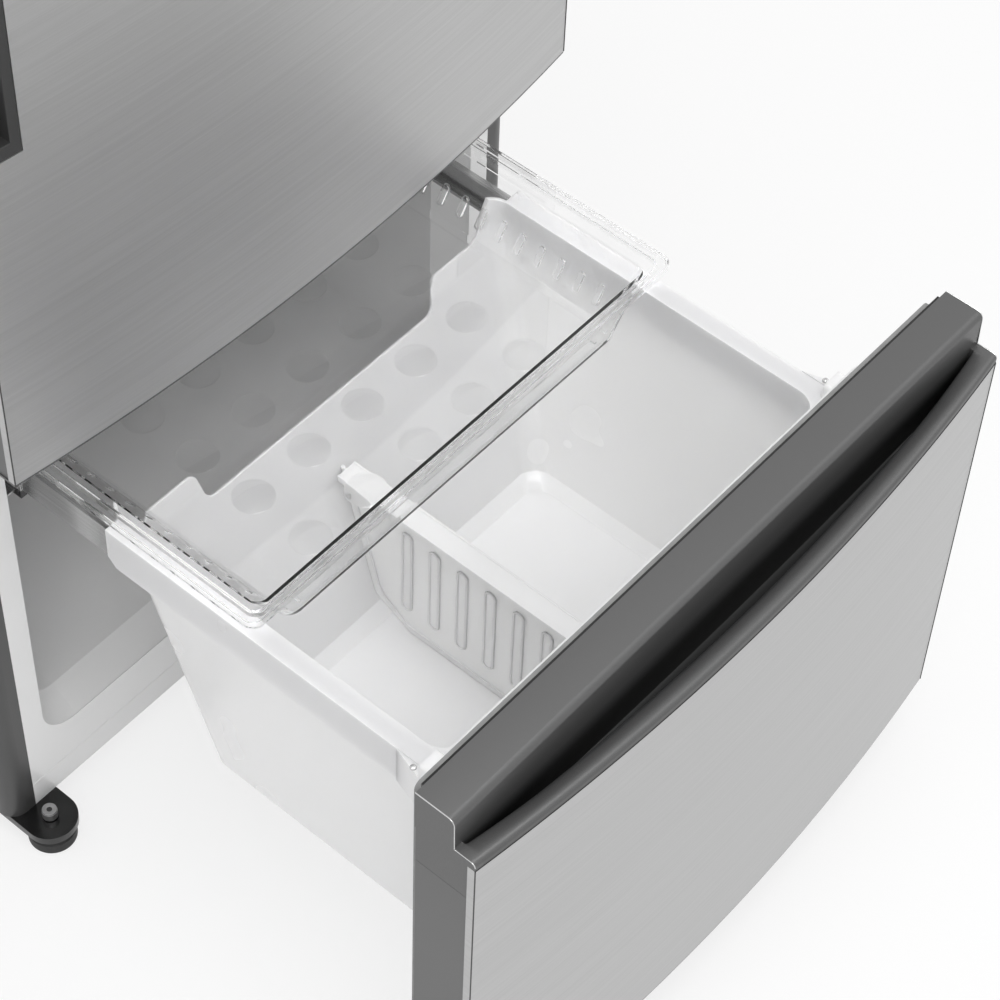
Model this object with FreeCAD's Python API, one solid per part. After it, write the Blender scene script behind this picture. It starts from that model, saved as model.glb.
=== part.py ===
"""Bottom freezer refrigerator: a hinged door above one deep pull-out freezer drawer.

Millimetres, +Z up. X = 0 is the plane of symmetry, Z = 0 is the floor, -Y is the front.
The freezer drawer is modelled fully open and the refrigerator door closed.
"""
import FreeCAD
import Part
import math
import os

V = FreeCAD.Vector
X_AXIS = V(1, 0, 0)
Y_AXIS = V(0, 1, 0)
Z_AXIS = V(0, 0, 1)

# ---------------------------------------------------------------- driving dimensions
# cabinet
CABINET_WIDTH = 756.0
CABINET_DEPTH = 690.0
CABINET_TOP = 1670.0
BASE_HEIGHT = 34.0            # underside of the cabinet above the floor
SHEET = 1.2                   # steel sheet of the cabinet
CORNER_RADIUS = 20.0          # front vertical edges of the side panels
SIDE_RETURN = 32.0            # width of the side panel's return on the front face
SEAM_HEIGHT = 35.0            # seam in the front frame above the cabinet's underside
SEAM_WIDTH = 1.2
SEAM_DEPTH = 0.5

# compartments
FREEZER_WALL = 76.0           # insulated side wall of the freezer compartment
FRIDGE_WALL = 58.0            # insulated side wall of the refrigerator compartment
FREEZER_FLOOR = 138.0
FREEZER_CEILING = 592.0
FRIDGE_FLOOR = 672.0
FRIDGE_CEILING = 1618.0
BACK_INSULATION = 58.0
LINER_WALL = 2.5
LINER_RADIUS = 28.0
MOUTH_FLARE = 18.0            # how much each opening widens towards the front
MOUTH_FLARE_HEIGHT = 14.0
MOUTH_DEPTH = 36.0
HUMP_FOOT = 382.0             # behind the front face, where the freezer's back starts to slope
HUMP_TOP_DEPTH = 460.0        # behind the front face, where that slope ends
HUMP_HEIGHT = 400.0

# machine compartment
MACHINE_FOOT = 413.0          # behind the front face, at the cabinet's underside
MACHINE_TOP_DEPTH = 506.0
MACHINE_TOP = 345.0
COVER_RECESS = 8.0

# door and drawer front
DOOR_SIDE_GAP = 12.0          # door and drawer front inside the cabinet's sides
FRONT_DEPTH = 65.0            # depth of the door and drawer front at their side edges
FRONT_BOW = 25.0              # how far the middle of the front bulges past its edges
GASKET_GAP = 11.0
GASKET_WIDTH = 12.0
GASKET_INSET = 11.0
GASKET_CLEARANCE = 0.3
SKIN = 1.2
SKIN_RETURN = 8.0             # how far the stainless sheet turns round the side edges
CAP_PLATE = 3.0
DRAWER_BOTTOM = 71.0
DRAWER_TOP = 630.0
DOOR_SPLIT = 6.0              # gap between drawer front and door
DOOR_TOP_GAP = 4.0
DRAWER_TRAVEL = 524.0

# handle cap of the drawer
CAP_BLOCK_DEPTH = 42.0
CAP_BLOCK_HEIGHT = 40.0
CAP_LIP_HEIGHT = 8.0
CAP_LIP_DEPTH = 24.0
CAP_POCKET_DEPTH = 44.0
CAP_END_WALL = 8.0
CAP_EDGE_RADIUS = 7.0
CAP_LIP_RADIUS = 5.0
CAP_BODY_HEIGHT = 52.0        # part of the cap that reaches down behind the skin

# handle insert of the door
INSERT_WIDTH = 52.0
INSERT_HEIGHT = 380.0
INSERT_BOTTOM = 372.0         # above the door's lower edge
INSERT_DEPTH = 46.0
INSERT_LIP = 10.0
INSERT_END_WALL = 14.0        # solid end of the insert above and below its step
INSERT_POCKET_END = 34.0      # ends of the finger pocket

# hinges
HINGE_EDGE = 10.0             # hinge axis to the door's side edge
HINGE_SETBACK = 28.0          # hinge axis ahead of the cabinet's front face
PIN_RADIUS = 5.0
PIN_CLEARANCE = 0.06
PIN_LENGTH = 18.0
BUSH_RADIUS = 9.0
HINGE_PLATE = 3.0
HINGE_COVER_HEIGHT = 19.0
COVER_WALL = 2.0

# freezer basket
BASKET_BOTTOM = 168.0
BASKET_TOP = 515.0
BASKET_WALL = 2.8
BASKET_SLIDE_GAP = 0.8        # basket wall to the tabs of the inner slide
BASKET_SIDE_LEAN = 21.8       # how far each side wall leans in from rim to floor
BASKET_FRONT_TOP = 50.0       # behind the drawer front's back face
BASKET_FRONT_BOTTOM = 64.0
BASKET_BACK_BOTTOM = 372.0
BASKET_BACK_TOP = 467.0
BASKET_FOOT_CHAMFER = 12.0
RIM_SIDE_GAP = 15.0           # rim to the wall of the compartment
RIM_BACK = 444.0
RIM_SHEET = 2.5
SKIRT_BOTTOM = 466.0
BASKET_SKIRT_STEP = 16.0      # front skirt ends this much higher than the side skirts
BASKET_CORNER = 26.0
BACK_LOW_HEIGHT = 438.0       # low middle of the basket's back wall
BACK_HUMP_HEIGHT = 475.0      # raised shoulders of that wall
BACK_HUMP_IN = 33.0           # outer end of a shoulder, inside the basket's side wall
BACK_HUMP_WIDTH = 70.0
BACK_RISE = 7.0               # sideways run of the step below a shoulder
BACK_RIM_RISE = 22.0          # sideways run of the curve from a shoulder up to the rim
BACK_RADIUS = 10.0

# divider
DIVIDER_TOP = 363.0
DIVIDER_THICKNESS = 3.0
DIVIDER_BAR_WIDTH = 25.0
DIVIDER_CLEARANCE = 1.2
DIVIDER_SLOT_PITCH = 36.0
DIVIDER_SLOT_COUNT = 6
DIVIDER_SLOT_WIDTH = 14.0
DIVIDER_SLOT_HEIGHT = 124.0
DIVIDER_SLOT_DROP = 31.0      # top of the raised ovals below the divider's top
DIVIDER_SLOT_FIRST = 89.0     # first oval ahead of the divider's rear edge
DIVIDER_RIB = 1.0
DIVIDER_FOOT_RUN = 40.0       # chamfer of the divider's lower rear corner, along the floor
DIVIDER_FOOT_RISE = 26.0      # and up the rear wall
DIVIDER_BAR_HEIGHT = 8.0
DIVIDER_BAR_TOP = 3.5
DIVIDER_BAR_WALL = 2.0

# upper freezer tray
TRAY_SIDE_GAP = 10.0          # tray rim to the wall of the compartment
TRAY_LENGTH = 470.0
TRAY_RIM_TOP = 546.0
TRAY_FLOOR = 477.0
TRAY_WALL = 2.4
TRAY_RIM_WIDTH = 22.0
TRAY_FRONT_RIM = 16.0         # narrower rim over the upright front wall
TRAY_WALL_SLOPE = 37.0        # how far the walls lean in from rim to floor
TRAY_RATIO = 0.6              # tray movement per drawer movement
TRAY_SETBACK = 43.4           # tray front behind the closed drawer front's back face
TRAY_SLOT_FIRST = 52.0        # first slot behind the tray's front edge
TRAY_SLOT_PITCH = 25.1
TRAY_SLOT_WIDTH = 7.0
TRAY_SLOT_LENGTH = 22.0

# slides
SLIDE_WALL_GAP = 18.5         # outer slide member to the wall of the compartment
SLIDE_THICKNESS = 12.5
SLIDE_BOTTOM = 467.0
SLIDE_TOP = 509.0
SLIDE_SHEET = 1.3
SLIDE_GAP = 0.25
SLIDE_LIP = 4.0
SLIDE_TAB = 1.4
SLIDE_OUTER_LENGTH = 500.0
SLIDE_MIDDLE_LENGTH = 480.0
SLIDE_INNER_LENGTH = 410.0
SLIDE_FRONT = 28.0            # front end of a closed slide behind the cabinet's front face
SLIDE_RATIO = 0.5

# feet and rollers
FOOT_INSET = 32.0             # foot axis inside the cabinet's side
FOOT_AHEAD = 21.0             # foot axis ahead of the cabinet's front face
FOOT_RADIUS = 25.5
FOOT_HEIGHT = 20.0
FOOT_STEM_RADIUS = 5.0
FOOT_HEAD_RADIUS = 8.0
FOOT_HEAD_HEIGHT = 10.0
BRACKET_RADIUS = 28.5
BRACKET_DEPTH = 10.0
BRACKET_SHEET = 3.0
BRACKET_TAIL = 62.0           # bracket behind the cabinet's front face
ROLLER_RADIUS = 15.0
ROLLER_WIDTH = 16.0
ROLLER_INSET = 78.0
ROLLER_FROM_BACK = 75.0
AXLE_RADIUS = 3.0
RUNNING_CLEARANCE = 0.05
SEAT_GAP = 0.3

# ---------------------------------------------------------------- derived places
HALF = CABINET_WIDTH / 2
FRONT_HALF = HALF - DOOR_SIDE_GAP
FREEZER_HALF_WIDTH = HALF - FREEZER_WALL
FRIDGE_HALF_WIDTH = HALF - FRIDGE_WALL
TOTAL_DEPTH = FRONT_BOW + FRONT_DEPTH + DRAWER_TRAVEL + GASKET_GAP + CABINET_DEPTH
BACK = TOTAL_DEPTH / 2
FACE = BACK - CABINET_DEPTH                  # front face of the cabinet
DOOR_BACK = FACE - GASKET_GAP                # back face of the closed door
DRAWER_BACK = DOOR_BACK - DRAWER_TRAVEL      # back face of the opened drawer front
DOOR_BOTTOM = DRAWER_TOP + DOOR_SPLIT
DOOR_TOP = CABINET_TOP - DOOR_TOP_GAP
HINGE_X = FRONT_HALF - HINGE_EDGE
HINGE_Y = FACE - HINGE_SETBACK
FRAME_HALF = HALF - SIDE_RETURN
INNER = FACE + SHEET                         # back of the front frame's sheet
LINER_BACK = BACK - BACK_INSULATION - SHEET
LINER_INSET = GASKET_INSET + GASKET_WIDTH + SEAT_GAP
FOOT_X = HALF - FOOT_INSET
ROLLER_X = HALF - ROLLER_INSET
SLIDE_OUTER_X = FREEZER_HALF_WIDTH - SLIDE_WALL_GAP
RIM_OUTER_HALF = FREEZER_HALF_WIDTH - RIM_SIDE_GAP
BASKET_TOP_HALF = SLIDE_OUTER_X - SLIDE_THICKNESS - SLIDE_TAB - BASKET_SLIDE_GAP
BASKET_BOTTOM_HALF = BASKET_TOP_HALF - BASKET_SIDE_LEAN
TRAY_HALF_WIDTH = FREEZER_HALF_WIDTH - TRAY_SIDE_GAP
TRAY_FRONT = DOOR_BACK + TRAY_SETBACK - TRAY_RATIO * DRAWER_TRAVEL
TRAY_BACK = TRAY_FRONT + TRAY_LENGTH


# ---------------------------------------------------------------- helpers
def box(x0, x1, y0, y1, z0, z1):
    """Block between two corners."""
    return Part.makeBox(x1 - x0, y1 - y0, z1 - z0, V(x0, y0, z0))


def cylinder(centre, direction, radius, length):
    return Part.makeCylinder(radius, length, centre, direction)


def unit(a, b):
    length = math.hypot(b[0] - a[0], b[1] - a[1])
    return (b[0] - a[0]) / length, (b[1] - a[1]) / length


def lozenge(u0, u1, v0, v1):
    """Slot outline with chamfered ends."""
    cut = min(u1 - u0, v1 - v0) * 0.3
    return [
        (u0 + cut, v0), (u1 - cut, v0), (u1, v0 + cut), (u1, v1 - cut),
        (u1 - cut, v1), (u0 + cut, v1), (u0, v1 - cut), (u0, v0 + cut),
    ]


def outline(corners, place):
    """Closed wire through corners (u, v) or (u, v, radius), rounded by tangent arcs."""
    pieces = []
    count = len(corners)
    for index, corner in enumerate(corners):
        here = corner[:2]
        radius = corner[2] if len(corner) > 2 else 0.0
        if radius == 0.0:
            pieces.append((here, None, here))
            continue
        d1 = unit(here, corners[index - 1][:2])
        d2 = unit(here, corners[(index + 1) % count][:2])
        half = math.acos(d1[0] * d2[0] + d1[1] * d2[1]) / 2
        reach = radius / math.tan(half)
        bisector = unit((0, 0), (d1[0] + d2[0], d1[1] + d2[1]))
        middle = radius / math.sin(half) - radius
        start = (here[0] + d1[0] * reach, here[1] + d1[1] * reach)
        end = (here[0] + d2[0] * reach, here[1] + d2[1] * reach)
        bulge = (here[0] + bisector[0] * middle, here[1] + bisector[1] * middle)
        pieces.append((start, bulge, end))
    edges = []
    for index, (start, bulge, end) in enumerate(pieces):
        if bulge is not None:
            edges.append(Part.Arc(place(*start), place(*bulge), place(*end)).toShape())
        following = pieces[(index + 1) % count][0]
        if math.hypot(following[0] - end[0], following[1] - end[1]) > 1e-6:
            edges.append(Part.LineSegment(place(*end), place(*following)).toShape())
    return Part.Wire(edges)


def prism_x(corners, x0, x1):
    """Extrude a (y, z) outline from x0 to x1."""
    wire = outline(corners, lambda u, v: V(x0, u, v))
    return Part.Face(wire).extrude(V(x1 - x0, 0, 0))


def prism_y(corners, y0, y1):
    """Extrude an (x, z) outline from y0 to y1."""
    wire = outline(corners, lambda u, v: V(u, y0, v))
    return Part.Face(wire).extrude(V(0, y1 - y0, 0))


def prism_z(corners, z0, z1):
    """Extrude an (x, y) outline from z0 to z1."""
    wire = outline(corners, lambda u, v: V(u, v, z0))
    return Part.Face(wire).extrude(V(0, 0, z1 - z0))


def rectangle(u0, u1, v0, v1, radius=0.0):
    if radius == 0.0:
        return [(u0, v0), (u1, v0), (u1, v1), (u0, v1)]
    return [(u0, v0, radius), (u1, v0, radius), (u1, v1, radius), (u0, v1, radius)]


def hexagon(radius, place):
    """Six-sided section of a small tube or stud."""
    angles = [math.pi * k / 3 for k in range(6)]
    points = [place(radius * math.cos(angle), radius * math.sin(angle)) for angle in angles]
    return Part.Face(Part.makePolygon(points + [points[0]]))


def loft(wires):
    """Solid with straight walls through a list of wires."""
    return Part.makeLoft(wires, True, True)


def mirrored(shape):
    """The same shape on the other side of the plane of symmetry."""
    return shape.mirror(V(0, 0, 0), X_AXIS)


def both_sides(shape):
    return Part.makeCompound([shape, mirrored(shape)])


def fuse(shapes):
    body = shapes[0]
    if len(shapes) > 1:
        body = body.fuse(shapes[1:])
    return body.removeSplitter()


def moved(shape, x=0.0, y=0.0, z=0.0):
    copy = shape.copy()
    copy.translate(V(x, y, z))
    return copy


def turned(shape, centre, axis, degrees):
    copy = shape.copy()
    copy.rotate(centre, axis, degrees)
    return copy


def save(node, shape):
    shape.exportStep("parts/" + node + ".step")


def bowed(half, back, depth, z0, z1, inset=0.0):
    """Door-shaped block: flat back, and a front bowed along an arc with its ends at depth."""
    corner = back - depth + inset
    left = V(-half, corner, z0)
    crown = V(0, corner - FRONT_BOW, z0)
    right = V(half, corner, z0)
    edges = [
        Part.Arc(left, crown, right).toShape(),
        Part.LineSegment(right, V(half, back, z0)).toShape(),
        Part.LineSegment(V(half, back, z0), V(-half, back, z0)).toShape(),
        Part.LineSegment(V(-half, back, z0), left).toShape(),
    ]
    return Part.Face(Part.Wire(edges)).extrude(V(0, 0, z1 - z0))


# ---------------------------------------------------------------- cabinet
def cabinet_outline(inset):
    """Plan of the cabinet inside a given inset, with its rounded front edges."""
    radius = CORNER_RADIUS - inset
    return [
        (-HALF + inset, BACK - inset),
        (-HALF + inset, FACE + inset, radius),
        (HALF - inset, FACE + inset, radius),
        (HALF - inset, BACK - inset),
    ]


def side_panel():
    """Right side panel: a steel sheet rounded into a return on the front face."""
    corners = [
        (HALF, BACK),
        (HALF, FACE, CORNER_RADIUS),
        (FRAME_HALF, FACE),
        (FRAME_HALF, FACE + SHEET),
        (HALF - SHEET, FACE + SHEET, CORNER_RADIUS - SHEET),
        (HALF - SHEET, BACK),
    ]
    return prism_z(corners, BASE_HEIGHT, CABINET_TOP)


def top_panel():
    return prism_z(cabinet_outline(SHEET), CABINET_TOP - SHEET, CABINET_TOP)


def mouth(half, floor, ceiling):
    """Outline of a compartment at the front face."""
    return rectangle(-half - MOUTH_FLARE, half + MOUTH_FLARE,
                     floor - MOUTH_FLARE_HEIGHT, ceiling + MOUTH_FLARE_HEIGHT,
                     LINER_RADIUS + MOUTH_FLARE_HEIGHT)


def front_frame():
    """Steel frame round both openings, with the rail between them."""
    plate = box(-FRAME_HALF, FRAME_HALF, FACE, INNER, BASE_HEIGHT, CABINET_TOP)
    freezer = mouth(FREEZER_HALF_WIDTH, FREEZER_FLOOR, FREEZER_CEILING)
    fridge = mouth(FRIDGE_HALF_WIDTH - MOUTH_FLARE / 2, FRIDGE_FLOOR, FRIDGE_CEILING)
    plate = plate.cut(prism_y(freezer, FACE - 1, INNER + 1))
    plate = plate.cut(prism_y(fridge, FACE - 1, INNER + 1))
    seam = BASE_HEIGHT + SEAM_HEIGHT
    groove = box(-FRAME_HALF, FRAME_HALF, FACE - 1, FACE + SEAM_DEPTH, seam, seam + SEAM_WIDTH)
    return plate.cut(groove)


def mouth_funnel(half, floor, ceiling, mouth_half, grow):
    """Flared entrance of a compartment, from the front frame to the straight walls."""
    def at(y):
        return lambda u, v: V(u, y, v)
    outer = rectangle(-mouth_half - MOUTH_FLARE - grow, mouth_half + MOUTH_FLARE + grow,
                      floor - MOUTH_FLARE_HEIGHT - grow, ceiling + MOUTH_FLARE_HEIGHT + grow,
                      LINER_RADIUS + MOUTH_FLARE_HEIGHT + grow)
    inner = rectangle(-half - grow, half + grow, floor - grow, ceiling + grow, LINER_RADIUS + grow)
    return loft([outline(outer, at(INNER)), outline(inner, at(INNER + MOUTH_DEPTH))])


def freezer_space(grow):
    """Freezer compartment, grown outwards by a wall thickness."""
    slope = math.atan2(HUMP_HEIGHT - FREEZER_FLOOR, HUMP_TOP_DEPTH - HUMP_FOOT)
    shift = grow * math.tan(slope / 2)
    start = INNER + MOUTH_DEPTH
    side = [
        (start, FREEZER_FLOOR - grow),
        (FACE + HUMP_FOOT + shift, FREEZER_FLOOR - grow),
        (FACE + HUMP_TOP_DEPTH + shift, HUMP_HEIGHT - grow),
        (LINER_BACK + grow, HUMP_HEIGHT - grow),
        (LINER_BACK + grow, FREEZER_CEILING + grow),
        (start, FREEZER_CEILING + grow),
    ]
    section = rectangle(-FREEZER_HALF_WIDTH - grow, FREEZER_HALF_WIDTH + grow,
                        FREEZER_FLOOR - grow, FREEZER_CEILING + grow, LINER_RADIUS + grow)
    body = prism_x(side, -FREEZER_HALF_WIDTH - grow, FREEZER_HALF_WIDTH + grow)
    body = body.common(prism_y(section, start, LINER_BACK + grow))
    funnel = mouth_funnel(FREEZER_HALF_WIDTH, FREEZER_FLOOR, FREEZER_CEILING,
                          FREEZER_HALF_WIDTH, grow)
    return fuse([body, funnel])


def fridge_space(grow):
    """Refrigerator compartment, grown outwards by a wall thickness."""
    section = rectangle(-FRIDGE_HALF_WIDTH - grow, FRIDGE_HALF_WIDTH + grow,
                        FRIDGE_FLOOR - grow, FRIDGE_CEILING + grow, LINER_RADIUS + grow)
    body = prism_y(section, INNER + MOUTH_DEPTH, LINER_BACK + grow)
    funnel = mouth_funnel(FRIDGE_HALF_WIDTH, FRIDGE_FLOOR, FRIDGE_CEILING,
                          FRIDGE_HALF_WIDTH - MOUTH_FLARE / 2, grow)
    return fuse([body, funnel])


# shelves and crispers of the refrigerator compartment
SHELF_HEIGHTS = (1160.0, 1380.0)
CRISPER_COVER_HEIGHT = 905.0
SHELF_FRONT = 120.0           # behind the cabinet's front face
SHELF_DEPTH = 440.0
LEDGE_WIDTH = 13.0
LEDGE_HEIGHT = 9.0
SHELF_SIDE_GAP = 1.5
SHELF_FRAME_WIDTH = 22.0
SHELF_FRAME_HEIGHT = 14.0
PANE = 4.0
PANE_LIP = 6.0


def ledges(half, inner, z_top, y0, y1):
    """Pair of moulded ledges on the side walls of a compartment."""
    corners = [
        (inner, z_top),
        (half, z_top),
        (half, z_top - 2 * LEDGE_HEIGHT),
        (inner, z_top - LEDGE_HEIGHT),
    ]
    ledge = prism_y(corners, y0, y1)
    return [ledge, mirrored(ledge)]


def freezer_liner():
    return freezer_space(LINER_WALL).cut(freezer_space(0.0))


def fridge_liner():
    """Moulded refrigerator liner with ledges for the shelves."""
    shell = fridge_space(LINER_WALL).cut(fridge_space(0.0))
    parts = [shell]
    for height in SHELF_HEIGHTS + (CRISPER_COVER_HEIGHT,):
        parts += ledges(FRIDGE_HALF_WIDTH + LINER_WALL / 2, FRIDGE_HALF_WIDTH - LEDGE_WIDTH, height,
                        FACE + SHELF_FRONT, FACE + SHELF_FRONT + SHELF_DEPTH)
    return fuse(parts)


def machine_slope():
    return math.atan2(MACHINE_TOP - BASE_HEIGHT, MACHINE_TOP_DEPTH - MACHINE_FOOT)


def base_line(offset):
    """Side view of the cabinet's underside, stepping up over the machine compartment."""
    shift = offset * math.tan(machine_slope() / 2)
    return [
        (INNER, BASE_HEIGHT + offset),
        (FACE + MACHINE_FOOT - shift, BASE_HEIGHT + offset),
        (FACE + MACHINE_TOP_DEPTH - shift, MACHINE_TOP + offset),
        (BACK - SHEET, MACHINE_TOP + offset),
    ]


def base_pan():
    """Folded sheet that closes the insulation underneath."""
    corners = base_line(0.0) + base_line(SHEET)[::-1]
    width = FRAME_HALF
    rear = HALF - SHEET
    pan = prism_x(corners, -rear, rear)
    front = box(-HALF, HALF, INNER - 1, FACE + CORNER_RADIUS, BASE_HEIGHT - 1, BASE_HEIGHT + SHEET + 1)
    middle = box(-width, width, INNER - 1, FACE + CORNER_RADIUS, BASE_HEIGHT - 1, BASE_HEIGHT + SHEET + 1)
    return pan.cut(front.cut(middle))


def insulation():
    """Foam between the outer panels and the two liners."""
    block = prism_z(cabinet_outline(SHEET), BASE_HEIGHT + SHEET, CABINET_TOP - SHEET)
    below = prism_x(base_line(SHEET) + [(BACK, MACHINE_TOP + SHEET), (BACK, 0), (INNER - SHEET, 0),
                                        (INNER - SHEET, BASE_HEIGHT + SHEET)], -HALF, HALF)
    block = block.cut(below)
    return block.cut([freezer_space(LINER_WALL), fridge_space(LINER_WALL)])


def back_panel():
    return box(-HALF + SHEET, HALF - SHEET, BACK - SHEET, BACK, MACHINE_TOP, CABINET_TOP - SHEET)


BASE_PLATE_THICKNESS = 2.0
BASE_PLATE_FRONT = 12.0       # behind the foot of the machine compartment
EAR_THICKNESS = 3.0
EAR_HALF_WIDTH = 22.0
EAR_TIP = 8.0                 # half width of an ear's tip, and its reach below the axle
ROLLER_SIDE_GAP = 1.0
AXLE_END = 2.0                # axle beyond each ear


def roller_y():
    return BACK - ROLLER_FROM_BACK


def base_plate():
    """Rear floor plate of the machine compartment, with the ears of the rollers."""
    top = BASE_HEIGHT + BASE_PLATE_THICKNESS
    plate = box(-HALF + SHEET, HALF - SHEET, FACE + MACHINE_FOOT + BASE_PLATE_FRONT, BACK - SHEET,
                BASE_HEIGHT, top)
    parts = [plate]
    ear = [
        (roller_y() - EAR_HALF_WIDTH, BASE_HEIGHT + 1),
        (roller_y() - EAR_TIP, ROLLER_RADIUS - EAR_TIP),
        (roller_y() + EAR_TIP, ROLLER_RADIUS - EAR_TIP),
        (roller_y() + EAR_HALF_WIDTH, BASE_HEIGHT + 1),
    ]
    offset = ROLLER_WIDTH / 2 + ROLLER_SIDE_GAP
    for side in (-1, 1):
        for x in (side * ROLLER_X - offset - EAR_THICKNESS, side * ROLLER_X + offset):
            blank = prism_x(ear, x, x + EAR_THICKNESS)
            hole = cylinder(V(x - 1, roller_y(), ROLLER_RADIUS), X_AXIS,
                            AXLE_RADIUS + RUNNING_CLEARANCE, EAR_THICKNESS + 2)
            parts.append(blank.cut(hole))
    return fuse(parts)


def roller(side):
    """Rear roller with its axle in one piece."""
    x = side * ROLLER_X
    half = ROLLER_WIDTH / 2
    end = half + ROLLER_SIDE_GAP + EAR_THICKNESS + AXLE_END
    profile = [
        (-end, 0), (-end, AXLE_RADIUS), (-half, AXLE_RADIUS), (-half, ROLLER_RADIUS),
        (half, ROLLER_RADIUS), (half, AXLE_RADIUS), (end, AXLE_RADIUS), (end, 0),
    ]
    wire = outline(profile, lambda u, v: V(x + u, roller_y() + v, ROLLER_RADIUS))
    return Part.Face(wire).revolve(V(x, roller_y(), ROLLER_RADIUS), X_AXIS, 360)


def foot_bracket():
    """Bracket under the right front corner: a round plate with a turned-down rim."""
    y = FACE - FOOT_AHEAD
    z0 = BASE_HEIGHT - BRACKET_DEPTH
    tail = FACE + BRACKET_TAIL

    def plan(inset):
        radius = BRACKET_RADIUS - inset
        return [
            (FOOT_X - radius, tail - inset),
            (FOOT_X - radius, y - radius, radius * 0.98),
            (FOOT_X + radius, y - radius, radius * 0.98),
            (FOOT_X + radius, tail - inset),
        ]
    solid = prism_z(plan(0.0), z0, BASE_HEIGHT)
    hollow = prism_z(plan(BRACKET_SHEET), z0 - 1, BASE_HEIGHT - BRACKET_SHEET)
    hole = cylinder(V(FOOT_X, y, z0), Z_AXIS, FOOT_STEM_RADIUS + RUNNING_CLEARANCE, BRACKET_DEPTH + 1)
    return solid.cut([hollow, hole])


def foot(side):
    """Levelling foot: moulded pad, threaded stem and a turning head."""
    x = side * FOOT_X
    y = FACE - FOOT_AHEAD
    head = BASE_HEIGHT + 2.0
    top = head + FOOT_HEAD_HEIGHT
    profile = [
        (0, 0), (FOOT_RADIUS - 1.5, 0), (FOOT_RADIUS, 2), (FOOT_RADIUS, FOOT_HEIGHT - 6),
        (FOOT_RADIUS - 6, FOOT_HEIGHT), (FOOT_STEM_RADIUS, FOOT_HEIGHT), (FOOT_STEM_RADIUS, head),
        (FOOT_HEAD_RADIUS, head), (FOOT_HEAD_RADIUS, top), (0, top),
    ]
    wire = outline(profile, lambda u, v: V(x + u, y, v))
    return Part.Face(wire).revolve(V(x, y, 0), Z_AXIS, 360)


# ---------------------------------------------------------------- hinges
HINGE_MARGIN = 3.0            # hinge plate round the bush
TOP_HINGE_TAIL = 88.0         # plate behind the cabinet's front face
TOP_HINGE_WIDTH = 62.0
COVER_INNER = 60.0            # cover inside the hinge axis
COVER_OUTER = 16.0            # cover outside and ahead of the hinge axis
COVER_TAIL = 104.0


def hinge_arm(z0, z1, tail, width):
    """Flat hinge arm round the pin, running back over the cabinet."""
    reach = BUSH_RADIUS + HINGE_MARGIN
    corners = [
        (HINGE_X + reach, tail),
        (HINGE_X + reach, HINGE_Y - reach, reach * 0.95),
        (HINGE_X - reach, HINGE_Y - reach, reach * 0.95),
        (HINGE_X - reach, HINGE_Y + reach),
        (HINGE_X + reach - width, FACE + 4),
        (HINGE_X + reach - width, tail),
    ]
    return prism_z(corners, z0, z1)


def top_hinge():
    """Hinge plate on the cabinet's top with its pin pointing down into the door."""
    plate = hinge_arm(CABINET_TOP, CABINET_TOP + HINGE_PLATE, FACE + TOP_HINGE_TAIL, TOP_HINGE_WIDTH)
    pin = cylinder(V(HINGE_X, HINGE_Y, DOOR_TOP - PIN_LENGTH), Z_AXIS, PIN_RADIUS,
                   PIN_LENGTH + DOOR_TOP_GAP + HINGE_PLATE)
    return fuse([plate, pin])


MIDDLE_LEAF_HEIGHT = 26.0
MIDDLE_LEAF_WIDTH = 66.0
MIDDLE_LEAF = 2.5
MIDDLE_ARM_WIDTH = 40.0


def middle_hinge():
    """Angle bracket on the rail between the openings, with a pin for the door's lower corner."""
    z0 = DRAWER_TOP + (DOOR_SPLIT - HINGE_PLATE) / 2
    arm = hinge_arm(z0, z0 + HINGE_PLATE, FACE + 20, MIDDLE_ARM_WIDTH)
    right = HINGE_X + BUSH_RADIUS + HINGE_MARGIN
    leaf_z = z0 + HINGE_PLATE / 2 - MIDDLE_LEAF_HEIGHT / 2
    leaf = box(right - MIDDLE_LEAF_WIDTH, right, FACE - MIDDLE_LEAF, FACE, leaf_z,
               leaf_z + MIDDLE_LEAF_HEIGHT)
    pin = cylinder(V(HINGE_X, HINGE_Y, z0), Z_AXIS, PIN_RADIUS, HINGE_PLATE + PIN_LENGTH)
    trim = box(0, HALF * 2, FACE, FACE + 50, z0 - 50, z0 + 50)
    return fuse([arm.cut(trim), leaf, pin])


def top_hinge_cover():
    """Moulded cover over the top hinge, open underneath."""
    x0 = HINGE_X - COVER_INNER
    x1 = HINGE_X + COVER_OUTER
    front = HINGE_Y - COVER_OUTER
    tail = FACE + COVER_TAIL

    def section(inset, floor):
        top = CABINET_TOP + HINGE_COVER_HEIGHT - inset
        return [
            (front + inset, floor),
            (front + inset, top, 8 - inset),
            (FACE + COVER_INNER, top, 20 - inset),
            (tail - 2 * inset, CABINET_TOP + 4),
            (tail - 2 * inset, floor),
        ]
    shell = prism_x(section(0.0, CABINET_TOP), x0, x1)
    return shell.cut(prism_x(section(COVER_WALL, CABINET_TOP - 1), x0 + COVER_WALL, x1 - COVER_WALL))


# ---------------------------------------------------------------- cooling system
COMPRESSOR_INSET = 188.0      # compressor axis inside the cabinet's left side
COMPRESSOR_X = COMPRESSOR_INSET - HALF
COMPRESSOR_RADIUS = 74.0
COMPRESSOR_HEIGHT = 152.0
COMPRESSOR_SEAM = 84.0        # weld seam above the foot plate
COMPRESSOR_PLATE_HALF = (88.0, 62.0)
COMPRESSOR_PLATE = 4.0
MOUNT_HEIGHT = 12.0
MOUNT_RADIUS = 11.0
MOUNT_INSET = 14.0            # mounts inside the edges of the foot plate
MACHINE_MIDDLE = 112.0        # compressor and fan axis ahead of the cabinet's back


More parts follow.
